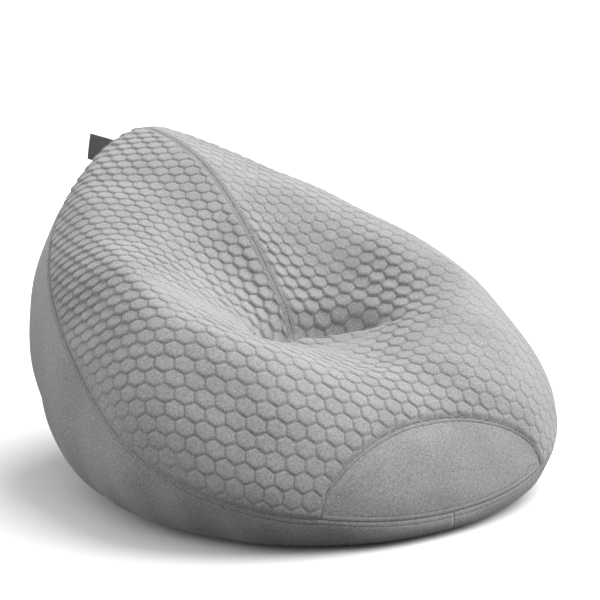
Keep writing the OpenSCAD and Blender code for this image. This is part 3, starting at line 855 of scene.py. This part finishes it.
def quiltRelief(lattice, fromRim, fromDart):
    # height of the quilting's outside over the plain skin
    turn, climb = lattice["place"].T
    base = skin(turn, climb)
    seam = 1 - smooth(climb, *quilt["backEnd"])
    strip = smooth(fromDart, *quilt["backStrip"]) * seam + 1 - seam
    band, loss, width = quilt["tightFront"]
    tight = between(-turn, *band) * loss * (1 - smooth(fromRim, 0.0, width))
    stretched, crowded = quiltZones(turn, climb)
    strength = smooth(fromRim, *quilt["seamFade"]) * strip * (1 - tight)
    strength *= (1 - quilt["stretchedLoss"] * stretched) * (1 + quilt["crowdedGain"] * crowded)
    puffed = (1 - lattice["share"] ** quilt["crown"]) ** 0.5
    uneven = 1 + ripple(base, *quilt["uneven"])
    lean = quilt["lean"] + (quilt["leanInCrease"] - quilt["lean"]) * crowded
    rounded = 1 - lattice["share"] ** quilt["leanRound"]
    tipped = lattice["off"] @ np.array(quilt["leanWay"]) * lean * rounded * np.minimum(strength, 1)
    height = quilt["puff"] * strength * uneven * (puffed - quilt["sunk"]) + tipped
    height = np.where(strip < 1, height * strip - quilt["puff"] * quilt["stripSunk"] * (1 - strip), height)
    rise = bag["quiltRise"] * smooth(fromRim, 0.0, quilt["seamRise"])
    depth, width = quilt["seamValley"]
    backDepth, backWidth = quilt["backValley"]
    valley = depth * bell(fromRim, 0, width) + backDepth * bell(fromDart, 0, backWidth) * seam
    swell = ripple(base, *quilt["swell"]) * smooth(fromRim, 0.0, quilt["swellFade"])
    creased = wrinkles(turn, climb) * smooth(fromRim, 0.0, quilt["wrinkleFade"])
    return height + rise - valley + swell + creased


def quiltSurface(lattice, relief, depth=0.0):
    turn, climb = lattice["place"].T
    base = settle(skin(turn, climb), turn, climb)
    return base + outward(turn, climb) * (relief - depth)[:, None]


def makeQuilting():
    pattern = flattenedQuilt()
    fine = quiltLattice(pattern, quilt["fineness"])
    fromRim, fromDart = edgeDistances(fine, pattern)
    relief = quiltRelief(fine, fromRim, fromDart)
    face = makeObject("quiltFace", quiltSurface(fine, relief), fine["cells"].tolist(), fine["flat"])
    # painted shade: the 'groove' mark darkens the cloth's colour in the hexagons' grooves, less on
    # stretched cloth
    groove = face.data.attributes.new("groove", "FLOAT", "POINT")
    line = smooth(fine["share"], quilt["grooveShadeStart"], 1.0) * smooth(fromRim, *quilt["seamFade"])
    line *= smooth(fromDart, *quilt["backStrip"])
    line *= 1 - quilt["grooveShadeLoss"] * quiltZones(*fine["place"].T)[0]
    groove.data.foreach_set("value", line.astype(np.float32))
    thicken(face, quilt["faceCloth"])
    finishPiece(face, "bag", "quilt_cloth", ["quilt_face"])
    makeQuiltInside(pattern)


# The wadding lies just under the face's grooves and domes a little under each puff.
wadding = {
    "sewnShare": 0.995,
    "below": 0.0015,
    "highest": 0.0022,
    "dome": 0.4,
    "domeFade": (0.3, 0.75),
    "edgeFade": (0.01, 0.03),
    "backingBelow": 0.0019,
}


def makeQuiltInside(pattern):
    coarse = quiltLattice(pattern, 3)
    fromRim, fromDart = edgeDistances(coarse, pattern)
    sewnDown = dict(coarse, share=np.maximum(coarse["share"], wadding["sewnShare"]), off=coarse["off"] * 0)
    low = np.minimum(quiltRelief(sewnDown, fromRim, fromDart), wadding["highest"]) - wadding["below"]
    dome = wadding["dome"] * quilt["puff"] * (1 - smooth(coarse["share"], *wadding["domeFade"]))
    dome *= smooth(np.minimum(fromRim, fromDart), *wadding["edgeFade"])
    cells, flat = coarse["cells"].tolist(), coarse["flat"]
    wad = makeObject("quiltWadding", quiltSurface(coarse, low + dome), cells, flat)
    thicken(wad, quilt["wadding"])
    finishPiece(wad, "bag", "wadding", ["quilt_wadding"])
    back = makeObject("quiltBacking", quiltSurface(coarse, low, wadding["backingBelow"]), cells, flat)
    thicken(back, quilt["backing"])
    finishPiece(back, "bag", "backing", ["quilt_backing"])


panel = {
    "pucker": (0.0010, 0.017),        # height and length of the small folds along a seam
    "puckerReach": 0.022,
    "puckerSwell": (0.6, 0.4, 0.071), # steady share, swelling share and the swelling's length
    "valley": (0.0020, 0.0016),       # depth and half width
    "lip": (0.0009, 0.0050, 0.0028),  # height, place and half width of the turned-in edge
    "stitched": (0.0010, 0.0094, 0.0013),
    "lowSeam": 0.45,                  # how much of that the toe panel's lower seam shows
    "toeBlend": (0.35, 0.6),
    "cornerBlend": (-2, 3),
    "broad": ((0.46, 0.0030, 4), (0.17, 0.0012, 6)),
    "broadFade": 0.05,
    "drapeFade": 0.06,
    "floorFade": 0.03,
}


def plainRelief(points, fromSeam, run, share=1.0):
    # the turned-in edge and its stitching groove, small folds along the seam, and broad unevenness
    height, length = panel["pucker"]
    steady, swelling, swellLength = panel["puckerSwell"]
    pucker = height * np.exp(-fromSeam / panel["puckerReach"]) * np.sin(2 * math.pi * run / length)
    pucker *= steady + swelling * np.sin(2 * math.pi * run / swellLength)
    depth, width = panel["valley"]
    edge = -depth * bell(fromSeam, 0, width)
    for name, way in (("lip", 1), ("stitched", -1)):
        height, place, width = panel[name]
        edge += way * height * bell(fromSeam, place, width)
    broad = ripple(points, *panel["broad"]) * smooth(fromSeam, 0.0, panel["broadFade"])
    return (pucker + edge) * share + broad


def panelGrid(turns, lowAt, highAt, rows, crowd=1):
    climbs = np.array([evenClimbs(t, float(lowAt(t)), float(highAt(t)), rows, crowd) for t in turns])
    spread = np.repeat(np.asarray(turns)[:, None], rows + 1, 1)
    return spread, climbs


def flatCloth(points):
    # a flat map of a grid, in metres, for its weave
    middle = points.shape[1] // 2
    across = np.repeat(lengthAlong(points[:, middle])[:, None], points.shape[1], 1)
    up = np.array([lengthAlong(column) for column in points])
    return np.stack([across, up], -1).reshape(-1, 2)


# Slack cloth over the floor edge hangs in shallow upright folds: heights and waves per degree.
draped = {
    "long": (0.0028, 0.21),
    "sway": (1.1, 0.05),
    "short": (0.0016, 0.47, 2),
    "climb": (0.75, 0.5),
    "turnStart": (20, 50),
}


def drape(spread, climbs):
    height, waves = draped["long"]
    sway, swayWaves = draped["sway"]
    total = height * np.sin(spread * waves + sway * np.sin(spread * swayWaves))
    height, waves, start = draped["short"]
    total = total + height * np.sin(spread * waves + start)
    return total * bell(climbs, *draped["climb"]) * smooth(np.abs(spread), *draped["turnStart"])


def makePanel(name, spread, climbs, isToe, node):
    base = skin(spread, climbs)
    walked = np.array([lengthAlong(column) for column in base])
    total = walked[:, -1:]
    run = np.zeros_like(walked) + lengthAlong(base[:, -1])[:, None]
    distance = total - walked
    full = smooth(np.abs(spread) - bag["cornerTurn"], *panel["cornerBlend"])
    if isToe:
        distance = np.minimum(distance, walked)
        full = smooth(walked / total, *panel["toeBlend"])
    relief = plainRelief(base, distance, run, panel["lowSeam"] + (1 - panel["lowSeam"]) * full)
    relief += drape(spread, climbs) * smooth(distance, 0.0, panel["drapeFade"])
    relief *= smooth(base[..., 2], 0.0, panel["floorFade"])
    points = settle(base, spread, climbs) + outward(spread, climbs) * relief[..., None]
    points[..., 2] = np.maximum(points[..., 2], 0.0)
    faces = gridFaces(len(spread) - 1, spread.shape[1] - 1)
    obj = makeObject(name, points.reshape(-1, 3), faces, flatCloth(base))
    thicken(obj, bag["cloth"])
    finishPiece(obj, "bag", "plain_cloth", [node])


def toeFoot(turn):
    return climbAt(turn, toeSeamHeight(turn))


def makePanels():
    corner = bag["cornerTurn"]
    steps, rows = ((230, 110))
    for side, name, node in ((-1, "sidePanelRight", "side_panel_right"),
                             (1, "sidePanelLeft", "side_panel_left")):
        rear = evenTurns(corner, 180, 1.0, steps)
        front = evenTurns(0.0, corner, 0.7, steps // 4)
        turns = np.sort(side * np.r_[front[:-1], rear])
        spread, climbs = panelGrid(turns, lambda t: 0.0, sideEdge, rows, 1.6)
        makePanel(name, spread, climbs, False, node)
    # the toe panel's ends stop just short of the corners
    turns = corner * 0.999 * sine(np.linspace(-90, 90, steps // 2 + 1))
    spread, climbs = panelGrid(turns, toeFoot, lambda t: climbAt(t, archHeight(t)), rows)
    makePanel("toePanel", spread, climbs, True, "toe_panel")


stitch = {
    "length": 0.0038,
    "pitch": 0.0050,
    "radius": 0.00045,
    "sunk": 0.00025,
    "ends": (0.45, 1.3),          # how thin the ends are and how deep they dive, in radii
    "insets": (0.0024, 0.0094),   # the two rows beside a seam
    "backRows": (-0.0085, -0.0032, 0.0032, 0.0085),
}


def stitchShape():
    # one stitch along X, with ends that dive into the cloth
    deselectAll()
    bpy.ops.mesh.primitive_cylinder_add(vertices=6, radius=1, depth=2, rotation=(0, math.pi / 2, 0),
                                        end_fill_type="NGON")
    obj = bpy.context.object
    bpy.ops.object.transform_apply(location=False, rotation=True, scale=False)
    bpy.ops.object.mode_set(mode="EDIT")
    for place in (0.5, -0.5):
        bpy.ops.mesh.select_all(action="SELECT")
        bpy.ops.mesh.bisect(plane_co=(place, 0, 0), plane_no=(1, 0, 0))
    bpy.ops.object.mode_set(mode="OBJECT")
    points = np.array([v.co[:] for v in obj.data.vertices])
    faces = [list(face.vertices) for face in obj.data.polygons]
    bpy.data.objects.remove(obj)
    ends = np.abs(points[:, 0]) > 0.9
    thin, deep = stitch["ends"]
    points[ends, 1:] *= thin
    points[ends, 2] -= deep
    return points, faces


def sampled(values, walked, where):
    return np.stack([np.interp(where, walked, values[:, k]) for k in range(3)], -1)


def stitchRow(line, normals):
    # stitches end to end along a line on the cloth
    shape, faces = stitchShape()
    walked = lengthAlong(line)
    count = max(2, int(walked[-1] / stitch["pitch"]))
    middles = (np.arange(count) + 0.5) * walked[-1] / count
    half, radius = stitch["length"] / 2, stitch["radius"]
    spots = sampled(line, walked, middles)
    way = unit(sampled(line, walked, middles + half) - sampled(line, walked, middles - half))
    up = sampled(normals, walked, middles)
    up = unit(up - way * (up * way).sum(1, keepdims=True))
    across = np.cross(up, way)
    points = (spots[:, None] + way[:, None] * (shape[:, 0] * half)[None, :, None]
              + across[:, None] * (shape[:, 1] * radius)[None, :, None]
              + up[:, None] * (shape[:, 2] * radius + stitch["sunk"])[None, :, None])
    allFaces = [[v + k * len(shape) for v in face] for k in range(count) for face in faces]
    return points.reshape(-1, 3), allFaces


def joinRows(name, rows, body, slot, node):
    points, faces = [], []
    for line, normals in rows:
        made, cells = stitchRow(line, normals)
        offset = sum(len(p) for p in points)
        points.append(made)
        faces += [[v + offset for v in cell] for cell in cells]
    obj = makeObject(name, np.concatenate(points), faces)
    finishPiece(obj, body, slot, [node])


def onPanel(turns, edgeAt, inset, share=1.0):
    # a line on the plain cloth at a distance below its seam (or above, where the inset is negative)
    edge = np.array([float(edgeAt(t)) for t in turns])
    step = np.linalg.norm(skin(turns, edge) - skin(turns, edge - 0.01), axis=-1)
    climbs = edge - 0.01 * inset / np.maximum(step, 1e-6)
    base = skin(turns, climbs)
    run = lengthAlong(skin(turns, edge))
    relief = plainRelief(base, np.full(len(turns), abs(inset)), run, share)
    normals = outward(turns, climbs)
    return settle(base, turns, climbs) + normals * (relief + stitch["radius"])[:, None], normals


def backSeamRows():
    low, high, count = float(topEdge(180)) + 0.01, 2.86, 500
    climbs = np.linspace(low, high, count)
    turns = np.full_like(climbs, 180.0)
    plain = skin(turns, climbs)
    normals = outward(turns, climbs)
    lift = bag["quiltRise"] - quilt["stripSunk"] * quilt["puff"] + stitch["radius"]
    lift = lift + ripple(plain, *quilt["swell"]) + wrinkles(turns, climbs)
    line = settle(plain, turns, climbs) + normals * lift[:, None]
    return [(line + np.array([x, 0, 0]), normals) for x in stitch["backRows"]]


def makeStitching():
    corner = bag["cornerTurn"]
    for side, name, node in ((-1, "stitchingSideRight", "stitching_side_right"),
                             (1, "stitchingSideLeft", "stitching_side_left")):
        turns = side * evenTurns(corner + 0.6, 179.2, 1.3, 500)
        rows = [onPanel(turns, sideEdge, inset) for inset in stitch["insets"]]
        joinRows(name, rows, "bag", "thread", node)
    turns = evenTurns(-corner * 0.95, corner * 0.95, 1.3, 300)
    rows = [onPanel(turns, topEdge, inset) for inset in stitch["insets"]]
    joinRows("stitchingToeArch", rows, "bag", "thread", "stitching_toe_arch")
    turns = evenTurns(-corner * 0.95, corner * 0.95, 1.0, 300)
    rows = [onPanel(turns, toeFoot, -inset, panel["lowSeam"]) for inset in stitch["insets"]]
    joinRows("stitchingToeBase", rows, "bag", "thread", "stitching_toe_base")
    joinRows("stitchingBackSeam", backSeamRows(), "bag", "thread", "stitching_back_seam")


# The base panels: a hem raised onto the zip's tape, and slightly loose cloth between hem and edge.
hem = {
    "width": 0.010,
    "slope": 0.014,
    "gap": 0.0075,                # from the zip's middle to a hem
    "edgeRoom": 0.0003,
    "loose": (0.16, 0.0006, 7),
    "looseStart": (0.03, 0.08),
    "rimStart": 0.9,
}
bases = {
    "basePanelFront": {"node": "base_panel_front", "side": -1, "flat": (0.70, 0.56)},
    "basePanelRear": {"node": "base_panel_rear", "side": 1, "flat": (0.68, 0.26)},
    "linerBaseFront": {"node": "liner_base_front", "side": -1, "flat": (0.70, 0.32)},
    "linerBaseRear": {"node": "liner_base_rear", "side": 1, "flat": (0.70, 0.46)},
}


def footReach(start, way):
    # how far the foot's edge is from a point in one direction
    low, high = 0.0, 1.0
    for _ in range(40):
        half = (low + high) / 2
        x, y = start + way * half
        turn = math.degrees(math.atan2(x, -y))
        if math.hypot(x, y) < float(outline(turn, *bag["foot"])) - hem["edgeRoom"]:
            low = half
        else:
            high = half
    return low


def basePlate(name, layer):
    # a fan of cloth from the middle of its straight hem out to the foot's edge
    base = bases[name]
    side = base["side"]
    middle = np.array([0.0, layer["zipY"] + side * hem["gap"]])
    spokes, rings = ((150, 90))
    angles = np.linspace(0, math.pi, spokes + 1)
    ways = np.stack([np.cos(angles), side * np.sin(angles)], 1)
    share = np.linspace(0, 1, rings + 1)
    reach = np.array([footReach(middle, way) for way in ways])
    spots = middle + ways[:, None] * (reach[:, None] * share)[..., None]
    inward = np.abs(spots[..., 1] - middle[1])
    raised = 1 - smooth(inward, hem["width"], hem["width"] + hem["slope"])
    loose = ripple(np.concatenate([spots, 0 * spots[..., :1]], -1), hem["loose"])
    loose = np.abs(loose * smooth(inward, *hem["looseStart"])) * (1 - smooth(share, hem["rimStart"], 1.0))
    height = layer["height"] + (layer["hemZ"] - layer["height"]) * raised + loose
    points = np.concatenate([spots, height[..., None]], -1)
    faces = gridFaces(spokes, rings)
    if side > 0:
        faces = [face[::-1] for face in faces]
    obj = makeObject(name, points.reshape(-1, 3), faces, spots.reshape(-1, 2))
    mergeClose(obj)
    thicken(obj, -layer["cloth"])
    finishPiece(obj, "bag", layer["slot"], [base["node"]])


def mergeClose(obj):
    pick(obj)
    bpy.ops.object.mode_set(mode="EDIT")
    bpy.ops.mesh.select_all(action="SELECT")
    bpy.ops.mesh.remove_doubles(threshold=0.00002)
    bpy.ops.object.mode_set(mode="OBJECT")


# A loop's thickness and the rounding of its edges are shares of the pitch.
coil = {"pitch": 0.0024, "thickness": 0.62, "rounding": 0.22}


def coilTeeth(name, node, slot):
    # one nylon loop of a coil zip, repeated along its row
    low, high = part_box(node)
    size = np.array(high - low)
    pitch = coil["pitch"]
    count = int(size[0] / pitch)
    middle = (low[0] + pitch / 2, (low[1] + high[1]) / 2, (low[2] + high[2]) / 2)
    deselectAll()
    bpy.ops.mesh.primitive_cube_add(size=1, location=middle)
    tooth = bpy.context.object
    tooth.name = name
    tooth.scale = (pitch * coil["thickness"], size[1], size[2])
    bpy.ops.object.transform_apply(location=True, rotation=False, scale=True)
    pick(tooth)
    rounded = tooth.modifiers.new("Rounded", "BEVEL")
    rounded.width = pitch * coil["rounding"]
    rounded.segments = 2
    bpy.ops.object.modifier_apply(modifier=rounded.name)
    row = tooth.modifiers.new("Row", "ARRAY")
    row.count = count
    row.use_relative_offset = False
    row.use_constant_offset = True
    row.constant_offset_displace = (size[0] / count, 0, 0)
    bpy.ops.object.modifier_apply(modifier=row.name)
    finishPiece(tooth, "bag", slot, [node])


def makeBases():
    cover = {
        "zipY": (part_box("zip_tape_front")[0][1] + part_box("zip_tape_rear")[1][1]) / 2,
        "height": 0.0,
        "hemZ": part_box("zip_tape_front")[0][2] - bag["cloth"],
        "cloth": bag["cloth"],
        "slot": "base_cloth",
        "under": "linerBaseFront",
    }
    liner = {
        "zipY": (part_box("liner_zip_tape_front")[0][1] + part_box("liner_zip_tape_rear")[1][1]) / 2,
        "height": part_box("liner_base_front")[1][2] - bag["linerCloth"],
        "hemZ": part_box("liner_zip_tape_front")[1][2],
        "cloth": bag["linerCloth"],
        "slot": "liner_cloth",
        "under": "beadFilling",
    }
    basePlate("basePanelFront", cover)
    basePlate("basePanelRear", cover)
    basePlate("linerBaseFront", liner)
    basePlate("linerBaseRear", liner)
    coilTeeth("zipTeethFront", "zip_teeth_front", "zip_teeth")
    coilTeeth("zipTeethRear", "zip_teeth_rear", "zip_teeth")
    coilTeeth("linerZipTeethFront", "liner_zip_teeth_front", "liner_zip_teeth")
    coilTeeth("linerZipTeethRear", "liner_zip_teeth_rear", "liner_zip_teeth")


# Pieces whose shape is already right only take a finish.
kept = {
    "zip_tape": ["zip_tape_front", "zip_tape_rear"],
    "zip_metal": ["zip_top_stop", "zip_bottom_stop", "zip_slider"],
    "liner_zip_tape": ["liner_zip_tape_front", "liner_zip_tape_rear"],
    "liner_zip_metal": ["liner_zip_stops", "liner_zip_slider"],
}


def keepCadNodes():
    for slot, nodes in kept.items():
        for node in nodes:
            obj = frame["nodes"][node]
            obj.data.materials.clear()
            obj.data.materials.append(finishes[slot])


label = {
    "length": 0.120,
    "width": 0.060,
    "cloth": 0.0008,
    "fold": 0.0016,
    "sewn": 0.008,
    "turn": 30,                   # degrees from straight back
    "bow": 0.0022,
    "curl": 0.0012,
    "steps": 34,
    "rows": 24,
    "foldTurns": (-90, 90, 9),
    "threadInset": 0.004,
    "flat": (0.060, 0.240),
}


def makeLabel():
    joint = next(j for j in frame["joints"] if j["name"] == "label_swing")
    root, axis = np.array(joint["pos_m"]), unit(np.array(joint["axis"]))
    turn = math.radians(label["turn"])
    back = np.array([0.0, 1.0, 0.0])
    back = unit(back - axis * (back @ axis))
    out = back * math.cos(turn) + np.cross(axis, back) * math.sin(turn)
    across = np.cross(out, axis)
    # the strip's middle line: out on one leaf, round the fold and back on the other
    outer = label["cloth"] + label["fold"] / 2
    half = label["cloth"] / 2
    length = label["length"] - outer
    share = np.linspace(0, 1, label["steps"])
    along = share * length
    gap = half + (outer - label["cloth"]) * smooth(along, label["sewn"], 2 * label["sewn"])
    bow = label["bow"] * np.sin(math.pi * share) * share
    angles = np.linspace(*label["foldTurns"])[1:-1]
    fold = outer - half
    lineOut = np.r_[along, length + fold * cosine(angles), along[::-1]]
    lineAcross = np.r_[-gap + bow, fold * sine(angles) + bow[-1], (gap + bow)[::-1]]
    rows = label["rows"]
    rise = np.linspace(-label["width"] / 2, label["width"] / 2, rows + 1)
    curl = label["curl"] * (rise / rise[-1]) ** 2
    sideways = lineAcross[:, None] + curl[None, :] * (lineOut / length)[:, None]
    points = (root + lineOut[:, None, None] * out + sideways[..., None] * across
              + rise[None, :, None] * axis)
    flat = np.stack([np.repeat(lengthAlong(np.stack([lineOut, lineAcross], 1))[:, None], rows + 1, 1),
                     np.repeat(rise[None, :], len(lineOut), 0)], -1)
    faces = gridFaces(len(lineOut) - 1, rows)
    obj = makeObject("labelTag", points.reshape(-1, 3), faces, flat.reshape(-1, 2))
    pick(obj)
    wall = obj.modifiers.new("Thickness", "SOLIDIFY")
    wall.thickness = label["cloth"] * 0.98
    wall.offset = 0
    bpy.ops.object.modifier_apply(modifier=wall.name)
    finishPiece(obj, "label", "label_cloth", ["label"])
    seams = []
    end = label["width"] / 2 - label["threadInset"]
    rise = np.linspace(-end, end, 40)
    for sign in (-1, 1):
        place = root + out * label["sewn"] / 2 + across * sign * (label["cloth"] + stitch["radius"])
        seams.append((place + rise[:, None] * axis, np.repeat((across * sign)[None], len(rise), 0)))
    joinRows("labelStitching", seams, "label", "label_thread", "label_stitching")


# The liner and the beads: depths under the cover, crumpling, and room left at the walls and the base.
inner = {
    "liner": 0.0043,
    "linerCrumple": 0.0010,
    "beads": 0.0062,
    "beadCrumple": 0.0016,
    "crumpleWaves": ((0.07, 0.5, 8), (0.03, 0.3, 9)),
    "crumpleStart": (0.02, 0.3),
    "wallRoom": 0.003,
    "baseRoom": 0.011,
}


def innerPoints(spread, climbs, depth):
    low = inner["wallRoom"] + (inner["baseRoom"] - inner["wallRoom"]) * np.clip(1 - climbs, 0, 1) ** 2
    room = np.where(climbs < 1, low, inner["wallRoom"] * np.clip(2 - climbs, 0, 1))
    base = settle(skin(spread, climbs), spread, climbs)
    return base - outward(spread, climbs) * (depth + room)[..., None]


def shell(name, turns, depth, crumple, closed):
    rows = 120
    climbs = np.array([evenClimbs(t, 0.0, 2.97, rows) for t in turns])
    spread = np.repeat(turns[:, None], rows + 1, 1)
    base = innerPoints(spread, climbs, depth)
    inward = crumple * (1 + ripple(base, *inner["crumpleWaves"])) / 2
    inward *= smooth(climbs, *inner["crumpleStart"])
    points = (base - outward(spread, climbs) * inward[..., None]).reshape(-1, 3)
    pole = settle(skin(0, 3), 0, 3) - np.array([0, 0, depth + crumple / 2])
    count, total = len(turns), len(points)
    faces = gridFaces(count - 1, rows)
    last = [j * (rows + 1) + rows for j in range(count)]
    ends = [pole]
    if closed:
        start = (count - 1) * (rows + 1)
        faces += [[start + i, i, i + 1, start + i + 1] for i in range(rows)]
        last.append(last[0])
        faces += [[j, (j + rows + 1) % total, total + 1] for j in range(0, total, rows + 1)]
        ends.append([0, 0, depth + inner["baseRoom"]])
    faces += [[a, b, total] for a, b in zip(last[:-1], last[1:])]
    flat = np.r_[flatCloth(base), [[0, 0]] * len(ends)]
    return makeObject(name, np.r_[points, ends], faces, flat)


def makeInside():
    half = 150
    for name, node, start in (("linerRight", "liner_right", -180), ("linerLeft", "liner_left", 0)):
        turns = evenTurns(start, start + 180, 1.2, half)
        obj = shell(name, turns, inner["liner"], inner["linerCrumple"], False)
        thicken(obj, bag["linerCloth"])
        finishPiece(obj, "bag", "liner_cloth", [node])
    turns = evenTurns(-180, 180, 1.2, 2 * half)[:-1]
    beads = shell("beadFilling", turns, inner["beads"], inner["beadCrumple"], True)
    finishPiece(beads, "bag", "beads", ["bead_filling"])


# The floor shows white to the camera and throws less light up onto the bag.
ground = {"size": 60, "height": -0.0003, "tones": (0.87, 0.89), "bounce": 0.16}


def makeFloor():
    deselectAll()
    bpy.ops.mesh.primitive_plane_add(size=ground["size"], location=(0, 0, ground["height"]))
    floor = bpy.context.object
    floor.name = "Floor"
    finish = Finish("PaleFloor", Specular_IOR_Level=0.0)
    darker, lighter = ground["tones"]
    tint = finish.noise(0.6, 2.0)
    pale = finish.ramp(tint, (0.3, grey(darker)), (0.7, grey(lighter)))
    seen = finish.node("ShaderNodeLightPath", {}, {}, "Is Camera Ray")
    bounced = (*grey(ground["bounce"]), 1)
    floor.data.materials.append(finish.done(finish.mix(seen, bounced, pale), 0.9))


print("camera and light")
makeCamera()
makeLights()
makeFloor()
print("filling and liner")
makeInside()
print("bases and zips")
makeBases()
keepCadNodes()
print("panels")
makePanels()
print("quilting")
makeQuilting()
print("stitching")
makeStitching()
print("label")
makeLabel()
